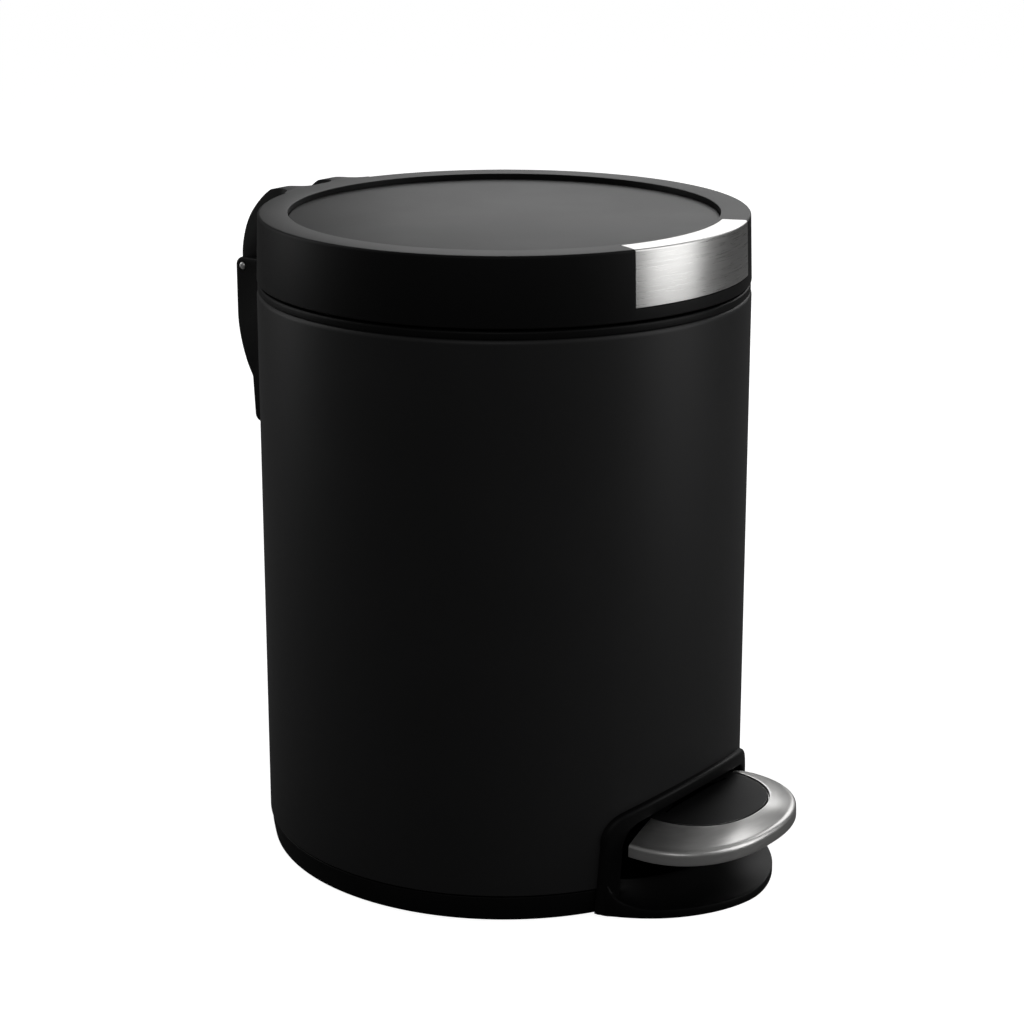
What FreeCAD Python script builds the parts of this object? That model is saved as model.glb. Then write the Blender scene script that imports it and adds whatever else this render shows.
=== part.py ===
import FreeCAD, Part
import math
import os

# Round pedal bin. Millimetres, +Z up, origin on the floor at the body's axis.
# The pedal is at the front (-Y) and the lid hinge is at the back (+Y).

# ---------------------------------------------------------------- driving dimensions
BODY_R = 102.5            # outside of the steel body
SHELL_T = 0.8             # body sheet
BASE_TOP = 10.6           # top of the base ring's outside wall
SEAM = 0.8                # shadow groove between base and body
SHOULDER_R = 2.4          # rolled shoulder at the top of the body
BODY_TOP = 240.0          # top of the rolled shoulder
COLLAR_TOP = 243.0        # top of the collar's bead
LINER_Z = 243.6           # underside of the lid's liner
LID_Z = 243.9             # lower edge of the lid's side
LID_TOP = 271.6           # top of the lid, the height of the bin
LID_R_TOP = 101.5
LID_R_LOW = 102.4
PANEL_R = 89.0            # recess for the lid panel
PANEL_DROP = 2.2          # depth of that recess
TAB_HALF = 22.75          # half angle of the steel tab, degrees
TAB_T = 0.6
TAB_IN_R = 91.0
TAB_LOW_Z = 249.0

PIN_Y = 127.4             # lid hinge pin
PIN_Z = 235.7
PIN_R = 1.75
HUB_R = 3.9
ARM_IN = 11.0             # lid arms lie between these distances from the middle
ARM_OUT = 19.5
EAR_IN = 19.9             # bracket ears
EAR_OUT = 24.0
LID_OPEN = 80.0           # degrees

CRANK_R = 12.5            # crank that lifts the lid, half its swing below level at rest
CRANK_DROP = LID_OPEN / 2
CROSS_R = 2.0             # pin across the crank
ROD_R = 2.0
ROD_LOW_Y = 95.0
ROD_HIGH_Y = 115.0

AXLE_Y = -17.0            # pedal lever axle
AXLE_Z = 14.0
AXLE_R = 2.5
RUN = 0.06                # radial clearance of a pin that turns

SURROUND_R = 105.2        # outside of the pedal surround
SECTOR = 30.3             # half angle of the gap in the base ring
SECTOR_R = 84.0
FOOT_Y = -83.0            # middle of the foot plate's ovals
PEDAL_Y = -100.0          # middle of the pedal's ovals
PEDAL_BACK = -99.0        # straight back edge of the steel pedal cover

FLOOR_T = 2.5
BUCKET_FLOOR = 50.0


# ---------------------------------------------------------------- small helpers
def vec(x, y, z):
    return FreeCAD.Vector(x, y, z)


def outline(place, start, steps):
    """Closed wire. A step (a, b) runs straight; (a, b, c, d) is an arc through (a, b) to (c, d)."""
    edges = []
    here = start
    for step in list(steps) + [start]:
        end = step[-2:]
        if len(step) == 4:
            edges.append(Part.Arc(place(*here), place(*step[:2]), place(*end)).toShape())
        elif math.dist(here, end) > 1e-6:
            edges.append(Part.LineSegment(place(*here), place(*end)).toShape())
        here = end
    return Part.Wire(edges)


def turned(start, steps, angle=360.0):
    """Solid of revolution of an (r, z) outline; a part turn is centred on the front."""
    face = Part.Face(outline(lambda r, z: vec(r, 0, z), start, steps))
    solid = face.revolve(vec(0, 0, 0), vec(0, 0, 1), angle)
    solid.rotate(vec(0, 0, 0), vec(0, 0, 1), -90.0 - angle / 2)
    return solid


def ring(r0, r1, z0, z1, angle=360.0):
    return turned((r0, z0), [(r1, z0), (r1, z1), (r0, z1)], angle)


def across(start, steps, x0, x1):
    """Solid of a (y, z) outline, run along X from x0 to x1."""
    face = Part.Face(outline(lambda y, z: vec(x0, y, z), start, steps))
    return face.extrude(vec(x1 - x0, 0, 0))


def fore_aft(start, steps, y0, y1):
    """Solid of an (x, z) outline, run along Y from y0 to y1."""
    face = Part.Face(outline(lambda x, z: vec(x, y0, z), start, steps))
    return face.extrude(vec(0, y1 - y0, 0))


def box(x0, x1, y0, y1, z0, z1):
    return Part.makeBox(x1 - x0, y1 - y0, z1 - z0, vec(x0, y0, z0))


def rod_x(y, z, radius, x0, x1):
    return Part.makeCylinder(radius, x1 - x0, vec(x0, y, z), vec(1, 0, 0))


def rod_y(x, z, radius, y0, y1):
    return Part.makeCylinder(radius, y1 - y0, vec(x, y0, z), vec(0, 1, 0))


def rod_z(x, y, radius, z0, z1):
    return Part.makeCylinder(radius, z1 - z0, vec(x, y, z0))


def joined(shapes):
    solid = shapes[0].multiFuse(shapes[1:]).removeSplitter()
    return solid


def both_sides(shape):
    """The shape and its mirror image across the middle plane."""
    return [shape, shape.mirror(vec(0, 0, 0), vec(1, 0, 0))]


def oval(middle_y, half_x, half_y, power, z, count=64):
    """Smooth closed superellipse wire at height z."""
    points = []
    for i in range(count):
        turn = 2 * math.pi * i / count
        c, s = math.cos(turn), math.sin(turn)
        x = half_x * math.copysign(abs(c) ** (2 / power), c)
        y = middle_y + half_y * math.copysign(abs(s) ** (2 / power), s)
        points.append(vec(x, y, z))
    curve = Part.BSplineCurve()
    curve.interpolate(Points=points, PeriodicFlag=True)
    return Part.Wire(curve.toShape())


def lofted(wires, ruled=False):
    return Part.makeLoft(wires, True, ruled)


def piped(points, bend_r, radius):
    """Round bar along straight runs joined by tangent arcs of one radius."""
    edges = []
    here = points[0]
    for before, corner, after in zip(points, points[1:], points[2:]):
        back = (before - corner).normalize()
        on = (after - corner).normalize()
        half = back.getAngle(on) / 2
        reach = bend_r / math.tan(half)
        start, end = corner + back * reach, corner + on * reach
        centre = corner + (back + on).normalize() * (bend_r / math.sin(half))
        mid = centre + (corner - centre).normalize() * bend_r
        edges.append(Part.LineSegment(here, start).toShape())
        edges.append(Part.Arc(start, mid, end).toShape())
        here = end
    edges.append(Part.LineSegment(here, points[-1]).toShape())
    return swept(edges, radius)


def swept(edges, radius):
    path = Part.Wire(edges)
    start = edges[0].valueAt(edges[0].FirstParameter)
    along = edges[0].tangentAt(edges[0].FirstParameter)
    section = Part.Wire(Part.Circle(start, along, radius).toShape())
    return path.makePipeShell([section], True, False)


def screw(x, y, z, direction, shank_r, length, head_r=3.0, head_h=1.8):
    """Pan-head screw with a cross recess. (x, y, z) is under the head; direction is the shank's."""
    head = Part.makeCylinder(head_r, head_h, vec(0, 0, 0), vec(0, 0, -1))
    head = head.makeFillet(head_h * 0.45, [e for e in head.Edges if e.CenterOfMass.z < -head_h * 0.9])
    shank = Part.makeCylinder(shank_r, length)
    tip = Part.makeCone(shank_r, shank_r * 0.4, shank_r, vec(0, 0, length))
    solid = joined([head, shank, tip])
    slot_l, slot_w, slot_d = head_r * 1.1, head_r * 0.26, head_h * 0.55
    for a, b in ((slot_l, slot_w), (slot_w, slot_l)):
        solid = solid.cut(box(-a / 2, a / 2, -b / 2, b / 2, -head_h, -head_h + slot_d))
    solid.Placement = FreeCAD.Placement(vec(x, y, z), FreeCAD.Rotation(vec(0, 0, 1), direction))
    return solid


NODES = {}


def keep(name, shapes):
    """Checks each solid and stores the node."""
    solids = []
    for shape in (shapes if isinstance(shapes, list) else [shapes]):
        solids += shape.Solids
    for solid in solids:
        if not solid.isValid() or solid.Volume <= 0:
            raise ValueError(name + " has a bad solid")
    NODES[name] = solids[0] if len(solids) == 1 else Part.makeCompound(solids)


# ---------------------------------------------------------------- outlines of the pedal doorway
def doorway(grow, sill):
    """Arched opening in (x, z), grown evenly outwards, from the height of its sill."""
    foot, side, side_z = 46.2 + grow, 44.4 + grow, 26.0
    bend_x, bend_z = 42.7 + grow * 0.9, 32.9 + grow * 0.5
    haunch_x, haunch_z = 37.5 + grow * 0.6, 37.6 + grow * 0.85
    crown = 43.0 + grow
    start = (foot, sill)
    steps = [(side, side_z), (bend_x, bend_z, haunch_x, haunch_z), (0, crown, -haunch_x, haunch_z),
             (-bend_x, bend_z, -side, side_z), (-foot, sill)]
    return start, steps


def frame_edge():
    """Outside edge of the pedal surround in (x, z)."""
    start = (53.5, 0.0)
    steps = [(51.4, 30.0), (49.3, 37.7, 43.2, 42.3), (0, 48.5, -43.2, 42.3),
             (-49.3, 37.7, -51.4, 30.0), (-53.5, 0.0)]
    return start, steps


# ---------------------------------------------------------------- base
def make_base():
    spigot_r = BODY_R - SHELL_T - 0.1
    seam_top = BASE_TOP + SEAM
    dish = turned((0, 0), [(99.7, 0), (100.3, 0.2, 100.5, 0.8), (101.5, 5.4, 101.95, BASE_TOP),
                           (100.6, BASE_TOP), (100.6, seam_top), (spigot_r, seam_top),
                           (spigot_r, 18.0), (99.2, 18.0), (98.6, 4.5),
                           (98.0, 3.1, 96.6, FLOOR_T), (0, FLOOR_T)])
    dish = dish.cut(ring(SECTOR_R, 130, -1, 60, 2 * SECTOR))
    boss = across((AXLE_Y - 6.5, FLOOR_T - 0.5),
                  [(AXLE_Y - 5.2, AXLE_Z), (AXLE_Y, AXLE_Z + 5.2, AXLE_Y + 5.2, AXLE_Z),
                   (AXLE_Y + 6.5, FLOOR_T - 0.5)], 13.0, 19.0)
    rib = box(19.0, 60.0, AXLE_Y - 1, AXLE_Y + 1, FLOOR_T - 0.5, 8.0)
    solid = joined([dish] + both_sides(boss) + both_sides(rib))
    solid = solid.cut(rod_x(AXLE_Y, AXLE_Z, AXLE_R + 0.02, -30, 30))
    pad_r, pad_t = 8.0, 1.6
    pads = []
    for quarter in range(4):
        turn = math.radians(45 + 90 * quarter)
        x, y = 76 * math.cos(turn), 76 * math.sin(turn)
        solid = solid.cut(rod_z(x, y, pad_r + 0.1, -1, pad_t))
        pads.append(rod_z(x, y, pad_r, 0, pad_t))
    groove_depth = 0.8
    for groove_r in (24.0, 40.0, 56.0):
        solid = solid.cut(ring(groove_r, groove_r + 3.0, -1, groove_depth))
    screw_r = 1.5
    for x in (-36.0, 36.0):
        solid = solid.cut(rod_z(x, -69.0, screw_r, -1, 5))
    keep("base", solid)
    keep("rubber_feet", pads)


# ---------------------------------------------------------------- pedal surround
def make_surround():
    far = -140.0
    start, steps = frame_edge()
    face = fore_aft(start, steps, -60, far).common(ring(BODY_R + 0.1, SURROUND_R, 0, 60, 120))
    rim = [e for e in face.Edges if e.Length > 8 and e.BoundBox.ZMax > 20
           and all(math.hypot(v.X, v.Y) > SURROUND_R - 0.01 for v in e.Vertexes)]
    face = face.makeFillet(1.5, rim)
    lining = fore_aft(*doorway(2.0, 0.0), -60, far).common(ring(95.0, BODY_R + 1.0, 0, 60, 120))
    edge_z, power = 3.8, 1.8
    plate = lofted([oval(FOOT_Y, 52.0, 47.3, power, 0), oval(FOOT_Y, 52.0, 47.3, power, edge_z)], True)
    cove = lofted([oval(FOOT_Y, 52.0, 47.3, power, edge_z - 0.01), oval(FOOT_Y, 49.9, 40.4, power, 4.9),
                   oval(FOOT_Y, 47.9, 33.6, power, 7.5), oval(FOOT_Y, 46.3, 27.9, power, 12.8)])
    foot = joined([plate, cove])
    foot = foot.cut(lofted([oval(FOOT_Y, 44.6, 26.2, power, 3.0), oval(FOOT_Y, 44.6, 26.2, power, 30)], True))
    keep_out = ring(101.3, BODY_R + 0.1, BASE_TOP, 60)
    foot = foot.cut(keep_out.cut(fore_aft(*doorway(2.0, 0.0), -60, far)))
    side_gap = 0.3
    foot = foot.common(ring(SECTOR_R + side_gap, 140, 0, 60, 2 * (SECTOR - side_gap)))
    legs = joined([face, lining]).cut(fore_aft(*doorway(0.0, 3.0), -60, far))
    floor = ring(SECTOR_R + side_gap, 103.0, 0, 3.0, 2 * (SECTOR - side_gap))
    tab = box(30.5, 41.5, -80.0, -63.5, FLOOR_T + 0.1, 5.2)
    solid = joined([foot, legs, floor] + both_sides(tab))
    screws = []
    for x in (-36.0, 36.0):
        solid = solid.cut(rod_z(x, -69.0, 1.7, 0, 10))
        screws.append(screw(x, -69.0, 5.2, vec(0, 0, -1), 1.5, 3.4))
    keep("pedal_surround", solid)
    keep("surround_screws", screws)


# ---------------------------------------------------------------- body shell and what it carries
BRACKET_SCREWS = [(x, z) for x in (-14.0, 14.0) for z in (177.0, 225.0)]


def make_body_shell():
    inner = BODY_R - SHELL_T
    start_z = BASE_TOP + SEAM
    bend_z = BODY_TOP - SHOULDER_R
    lip_r = BODY_R - SHOULDER_R
    diagonal = math.sqrt(0.5)
    outer_arc = (lip_r + SHOULDER_R * diagonal, bend_z + SHOULDER_R * diagonal)
    in_r = SHOULDER_R - SHELL_T
    inner_arc = (lip_r + in_r * diagonal, bend_z + in_r * diagonal)
    shell = turned((BODY_R, start_z), [(BODY_R, bend_z), (*outer_arc, lip_r, BODY_TOP),
                                       (lip_r, BODY_TOP - SHELL_T), (*inner_arc, inner, bend_z),
                                       (inner, start_z)])
    shell = shell.cut(fore_aft(*doorway(2.3, -5.0), -60, -130))
    slot_half, slot_low, slot_high = 3.6, 178.0, 202.0
    slot = [box(-slot_half, slot_half, 90, 110, slot_low, slot_high)]
    slot += [rod_y(0, z, slot_half, 90, 110) for z in (slot_low, slot_high)]
    shell = shell.cut(joined(slot))
    for x, z in BRACKET_SCREWS:
        shell = shell.cut(rod_y(x, z, 1.7, 90, 110))
    keep("body_shell", shell)


def make_top_collar():
    solid = turned((97.3, 240.0), [(97.3, 242.6), (97.4, 242.9, 97.7, COLLAR_TOP), (101.0, COLLAR_TOP),
                                   (101.75, 242.7, 102.1, 242.0), (102.1, 240.4), (101.7, BODY_TOP),
                                   (99.85, BODY_TOP), (99.85, 232.0),
                                   (98.2, 232.0), (98.2, 238.3), (92.5, 238.3), (92.5, 240.0)])
    keep("top_collar", solid)


def make_bucket():
    wall, low_r, high_r, rim_r, rim_z = 1.8, 77.0, 88.5, 96.8, 241.8
    fillet = 5.0
    low_z = BUCKET_FLOOR
    solid = turned((0, low_z), [(low_r - fillet, low_z), (low_r - 1.4, low_z + 1.4, low_r, low_z + fillet),
                                (high_r, 240.0), (rim_r - 0.9, 240.0), (rim_r, 240.9, rim_r - 0.9, rim_z),
                                (high_r - wall + 0.8, rim_z),
                                (high_r - wall + 0.2, rim_z - 0.3, high_r - wall, rim_z - 1.0),
                                (low_r - wall, low_z + fillet + 0.6),
                                (low_r - wall - 1.2, low_z + wall + 1.2, low_r - wall - fillet, low_z + wall),
                                (0, low_z + wall)])
    ear_in, ear_out, hinge_z = 87.2, 90.2, 244.0
    ear = across((-5.0, 240.5), [(5.0, 240.5), (4.0, hinge_z), (0, hinge_z + 4.0, -4.0, hinge_z)],
                 ear_in, ear_out)
    solid = joined([solid] + both_sides(ear))
    wire_r = 1.7
    solid = solid.cut(rod_x(0, hinge_z, wire_r + 0.15, -100, 100))
    keep("inner_bucket", solid)

    bail_r, bend, tip = 93.9, 3.4, 85.8
    turn_x = math.sqrt((bail_r - bend) ** 2 - bend ** 2)
    reach = bail_r / (bail_r - bend)
    half_turn = (math.asin(bend / (bail_r - bend)) - math.pi / 2) / 2
    mid_x = turn_x + bend * math.cos(half_turn)
    mid_y = bend + bend * math.sin(half_turn)
    end_x, end_y = turn_x * reach, bend * reach
    edges = [Part.LineSegment(vec(tip, 0, hinge_z), vec(turn_x, 0, hinge_z)).toShape(),
             Part.Arc(vec(turn_x, 0, hinge_z), vec(mid_x, mid_y, hinge_z), vec(end_x, end_y, hinge_z)).toShape(),
             Part.Arc(vec(end_x, end_y, hinge_z), vec(0, bail_r, hinge_z), vec(-end_x, end_y, hinge_z)).toShape(),
             Part.Arc(vec(-end_x, end_y, hinge_z), vec(-mid_x, mid_y, hinge_z), vec(-turn_x, 0, hinge_z)).toShape(),
             Part.LineSegment(vec(-turn_x, 0, hinge_z), vec(-tip, 0, hinge_z)).toShape()]
    keep("bucket_handle", swept(edges, wire_r))


# ---------------------------------------------------------------- hinge bracket and pin
def make_bracket():
    back = PIN_Y + HUB_R
    side = [(118.6, 166.5), (121.3, 166.9, 122.0, 169.6), (123.0, 186.0), (128.4, 193.6, 130.9, 203.0),
            (back, 208.0), (back, PIN_Z), (PIN_Y + HUB_R * 0.707, PIN_Z + HUB_R * 0.707, PIN_Y, PIN_Z + HUB_R),
            (122.0, 240.0), (95.0, 240.0)]
    solid = across((95.0, 166.5), side, -EAR_OUT, EAR_OUT)
    edges = [e for e in solid.Edges if e.BoundBox.YMin > 121.9 and e.BoundBox.ZMin > 169
             and e.BoundBox.ZMax < PIN_Z + 0.1 and e.BoundBox.XLength < 0.01]
    solid = solid.makeFillet(1.2, edges)
    solid = solid.cut(Part.makeCylinder(BODY_R + 0.05, 200, vec(0, 0, 100)))
    hollow = across((90.0, 169.0), [(117.5, 169.0), (119.7, 170.0, 120.0, 172.0), (121.0, 187.0),
                                    (126.2, 194.0, 128.7, 203.0), (129.1, 208.0), (129.1, 230.5),
                                    (140.0, 230.5), (140.0, 250.0), (90.0, 250.0)], -EAR_IN, EAR_IN)
    solid = solid.cut(hollow)
    top = box(-EAR_IN - 0.5, EAR_IN + 0.5, 96, 119, 238.2, 240.0)
    top = top.cut(Part.makeCylinder(BODY_R + 0.05, 200, vec(0, 0, 100)))
    top = top.cut(box(-9.0, 9.0, 108.5, 125, 230, 250))
    parts = [solid, top]
    for x, z in BRACKET_SCREWS:
        boss = rod_y(x, z, 4.0, 95, 120.5 if z < 200 else 129.5)
        boss = boss.cut(Part.makeCylinder(BODY_R + 0.05, 200, vec(0, 0, 100)))
        web = box(x, EAR_IN + 0.5, 103.5, 116, z - 1, z + 1) if x > 0 else \
            box(-EAR_IN - 0.5, x, 103.5, 116, z - 1, z + 1)
        parts += [boss, web]
    solid = joined(parts)
    screws = []
    for x, z in BRACKET_SCREWS:
        solid = solid.cut(rod_y(x, z, 1.45, 95, 114))
        seat = math.sqrt((BODY_R - SHELL_T) ** 2 - (abs(x) + 3.0) ** 2)
        screws.append(screw(x, seat - 0.05, z, vec(0, 1, 0), 1.45, 12.0))
    solid = solid.cut(rod_x(PIN_Y, PIN_Z, PIN_R + 0.01, -30, 30))
    keep("hinge_bracket", solid)
    keep("bracket_screws", screws)
    pin = rod_x(PIN_Y, PIN_Z, PIN_R, -EAR_OUT - 0.4, EAR_OUT + 0.4)
    pin = pin.makeFillet(0.35, [e for e in pin.Edges if e.Closed])
    keep("hinge_pin", pin)


# ---------------------------------------------------------------- lid
def lid_side_r(z):
    return LID_R_LOW + (LID_R_TOP - LID_R_LOW) * (z - LID_Z) / (LID_TOP - LID_Z)


def tab_profile(grow):
    """(r, z) outline of the tab that wraps the lid's front edge, grown by a seam."""
    low, edge = TAB_LOW_Z - grow, 1.2
    inner = TAB_IN_R - grow
    t = TAB_T + (0.02 if grow else 0)
    out = 1.0 if grow else 0
    corner_r, corner_z = LID_R_TOP, LID_TOP
    if grow:
        return (inner, corner_z + out), [(corner_r + 3, corner_z + out), (corner_r + 3, low),
                                         (lid_side_r(low) - t, low), (corner_r - t + 0.05, corner_z - edge),
                                         (corner_r - t - 0.2, corner_z - t - 0.2, corner_r - edge, corner_z - t),
                                         (inner, corner_z - t)]
    return (inner, corner_z), [(corner_r - edge, corner_z),
                               (corner_r - 0.35, corner_z - 0.35, corner_r + 0.04, corner_z - edge),
                               (lid_side_r(low), low), (lid_side_r(low) - t, low),
                               (corner_r - t + 0.04, corner_z - edge),
                               (corner_r - t - 0.2, corner_z - t - 0.2, corner_r - edge, corner_z - t),
                               (inner, corner_z - t)]


LINER_SCREW_R = 87.4
LINER_DISC_Z = 252.0


def make_lid():
    seat_z = LID_TOP - PANEL_DROP - 1.2
    edge = 1.2
    shell = turned((LID_R_LOW - 0.5, LID_Z),
                   [(LID_R_LOW - 0.1, LID_Z + 0.1, LID_R_LOW, LID_Z + 0.5),
                    (LID_R_TOP + 0.04, LID_TOP - edge),
                    (LID_R_TOP - 0.35, LID_TOP - 0.35, LID_R_TOP - edge, LID_TOP),
                    (PANEL_R + 0.6, LID_TOP), (PANEL_R + 0.17, LID_TOP - 0.17, PANEL_R, LID_TOP - 0.6),
                    (PANEL_R, seat_z), (84.0, seat_z), (84.0, seat_z - 1.8), (PANEL_R + 2.0, seat_z - 1.8),
                    (PANEL_R + 2.0, LID_TOP - 2.3), (99.4, LID_TOP - 2.3), (100.1, LID_Z)])
    arm = across((PIN_Y - HUB_R, PIN_Z),
                 [(PIN_Y, PIN_Z - HUB_R, PIN_Y + HUB_R, PIN_Z), (PIN_Y + HUB_R, 238.5),
                  (128.9, 251.0, 120.2, 265.0), (113.0, 270.1, 104.0, LID_TOP), (99.2, LID_TOP),
                  (99.2, LID_Z + 0.3), (103.0, LID_Z + 0.3), (103.0, 241.4), (119.5, 241.4),
                  (122.6, 239.6, PIN_Y - HUB_R, PIN_Z)], ARM_IN, ARM_OUT)
    rear = [e for e in arm.Edges if e.BoundBox.YMin > 103.9 and e.BoundBox.ZMin > 238.4
            and e.BoundBox.XLength < 0.01]
    arm = arm.makeFillet(0.9, rear)
    posts = []
    for quarter in range(4):
        turn = math.radians(45 + 90 * quarter)
        x, y = LINER_SCREW_R * math.cos(turn), LINER_SCREW_R * math.sin(turn)
        posts.append(rod_z(x, y, 3.4, LINER_DISC_Z + 2.05, seat_z - 1.0))
    shell = joined([shell] + both_sides(arm) + posts)
    shell = shell.cut(rod_x(PIN_Y, PIN_Z, PIN_R + RUN, -30, 30))
    seam = 0.22
    seam_angle = math.degrees(seam / LID_R_TOP)
    shell = shell.cut(turned(*tab_profile(seam), 2 * (TAB_HALF + seam_angle)))
    for post in posts:
        c = post.CenterOfMass
        shell = shell.cut(rod_z(c.x, c.y, 1.3, LINER_DISC_Z, seat_z - 3.0))
    keep("lid_shell", shell)
    keep("lid_tab", turned(*tab_profile(0), 2 * TAB_HALF))
    panel = Part.makeCylinder(PANEL_R - 0.12, 1.2, vec(0, 0, seat_z))
    keep("lid_panel", panel)

    liner = turned((0, LINER_DISC_Z), [(94.5, LINER_DISC_Z), (96.4, LINER_DISC_Z - 0.8, 97.2, LINER_DISC_Z - 2.7),
                                       (97.2, LINER_Z), (99.0, LINER_Z), (99.2, LINER_Z + 0.2),
                                       (99.2, 262.0), (97.2, 262.0),
                                       (97.2, LINER_DISC_Z + 2.0), (0, LINER_DISC_Z + 2.0)])
    screws = []
    for post in posts:
        c = post.CenterOfMass
        liner = liner.cut(rod_z(c.x, c.y, 1.5, 240, 270))
        screws.append(screw(c.x, c.y, LINER_DISC_Z, vec(0, 0, 1), 1.3, 9.0, 2.8, 1.6))
    bumper_r, bumper_t, bumper_at = 0.9, 0.5, 98.2
    bumpers = []
    for turn in (20, 160, 200, 340):
        x = bumper_at * math.cos(math.radians(turn))
        y = bumper_at * math.sin(math.radians(turn))
        liner = liner.cut(rod_z(x, y, bumper_r + 0.05, LINER_Z - 1, LINER_Z + 1.2))
        bumpers.append(rod_z(x, y, bumper_r, LINER_Z - bumper_t, LINER_Z + 1.2))
    keep("lid_liner", liner)
    keep("liner_screws", screws)
    keep("lid_bumpers", bumpers)


def make_crank():
    drop = math.radians(CRANK_DROP)
    tip_y = PIN_Y - CRANK_R * math.cos(drop)
    tip_z = PIN_Z - CRANK_R * math.sin(drop)
    barrel_r, tip_r, plate_half = 3.8, 3.2, 3.0
    side_y, side_z = math.sin(drop), -math.cos(drop)
    corners = [(PIN_Y + barrel_r * side_y, PIN_Z + barrel_r * side_z), (tip_y + tip_r * side_y, tip_z + tip_r * side_z),
               (tip_y - tip_r * side_y, tip_z - tip_r * side_z), (PIN_Y - barrel_r * side_y, PIN_Z - barrel_r * side_z)]
    web = across(corners[0], corners[1:], -plate_half, plate_half)
    solid = joined([web, rod_x(PIN_Y, PIN_Z, barrel_r, -ARM_IN + 0.05, ARM_IN - 0.05),
                    rod_x(tip_y, tip_z, tip_r, -plate_half, plate_half)])
    solid = solid.cut(rod_x(PIN_Y, PIN_Z, PIN_R + RUN, -30, 30))
    solid = solid.cut(rod_x(tip_y, tip_z, CROSS_R + 0.01, -30, 30))
    keep("lid_crank", solid)
    keep("crank_pin", rod_x(tip_y, tip_z, CROSS_R, -8.2, 8.2))
    return tip_y, tip_z


# ---------------------------------------------------------------- push rod
def make_rod(tip_y, tip_z):
    foot_r, gap = 4.0, 0.3
    foot_z = LEVER_TOP + gap + foot_r
    head_z = 216.0
    path = [vec(0, ROD_LOW_Y, foot_z), vec(0, ROD_LOW_Y, 172), vec(0, ROD_HIGH_Y, 200),
            vec(0, ROD_HIGH_Y, head_z + 4)]
    keep("push_rod", piped(path, 12.0, ROD_R))
    foot = rod_x(ROD_LOW_Y, foot_z, foot_r, -6, 6)
    stem = rod_z(0, ROD_LOW_Y, foot_r - 0.2, foot_z, foot_z + 9)
    foot = joined([foot, stem])
    foot = foot.cut(rod_z(0, ROD_LOW_Y, ROD_R + 0.01, foot_z, foot_z + 20))
    keep("rod_foot", foot)
    near_y = PIN_Y - CRANK_R
    half = 7.5
    play = 0.4
    front, back, top = near_y - 4.6, tip_y + 4.6, tip_z + 5.0
    block = across((front, head_z), [(back - 3, head_z), (back, head_z + 4), (back, top - 3),
                                     (back - 0.9, top - 0.9, back - 3, top), (front + 3, top),
                                     (front + 0.9, top - 0.9, front, top - 3)], -half, half)
    block = block.cut(box(-4.0, 4.0, 100, 130, head_z + 6.5, 260))
    block = block.cut(box(-4.0, 4.0, ROD_HIGH_Y + ROD_R + 0.6, 130, head_z + 1.8, 260))
    slot_r = CROSS_R + play
    slot = [box(-9, 9, near_y, tip_y, tip_z - slot_r, tip_z + slot_r)]
    slot += [rod_x(y, tip_z, slot_r, -9, 9) for y in (near_y, tip_y)]
    block = block.cut(joined(slot))
    block = block.cut(rod_z(0, ROD_HIGH_Y, ROD_R + 0.01, head_z - 1, head_z + 4.01))
    keep("rod_head", block)
    guide_low, guide_high = 118.0, 130.0
    inner = BODY_R - SHELL_T
    saddle = box(-4.6, 4.6, 91.0, 101.0, guide_low, guide_high)
    strip = ring(100.5, inner - 0.05, guide_low, guide_high, 360).common(box(-13, 13, 90, 110, 100, 140))
    guide = joined([saddle, strip]).cut(rod_z(0, ROD_LOW_Y, ROD_R + 0.3, 100, 140))
    guide = guide.cut(box(-2.2, 2.2, 97.6, 99.8, 100, 140))
    keep("rod_guide", guide)


# ---------------------------------------------------------------- pedal and lever
LEVER_TOP = 18.0
LEVER_T = 2.5
LEVER_HALF = 12.0
TRAY_LOW = 29.4
PEDAL_SCREWS = (-104.0, -92.0)


def pedal_form(inset, lower, low_z):
    """Solid under the pedal's outside surface, moved in and down by a wall."""
    lip = oval(PEDAL_Y, 46.5 - inset, 37.5 - inset, 2.3, low_z)
    crease = oval(PEDAL_Y, 46.1 - inset, 36.7 - inset, 2.3, 31.4 - lower)
    crown = oval(PEDAL_Y, 30.6 - inset * 0.4, 29.4 - inset * 0.4, 2.2, 37.5 - lower)
    return joined([lofted([lip, crease], True), lofted([crease, crown], True)])


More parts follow.
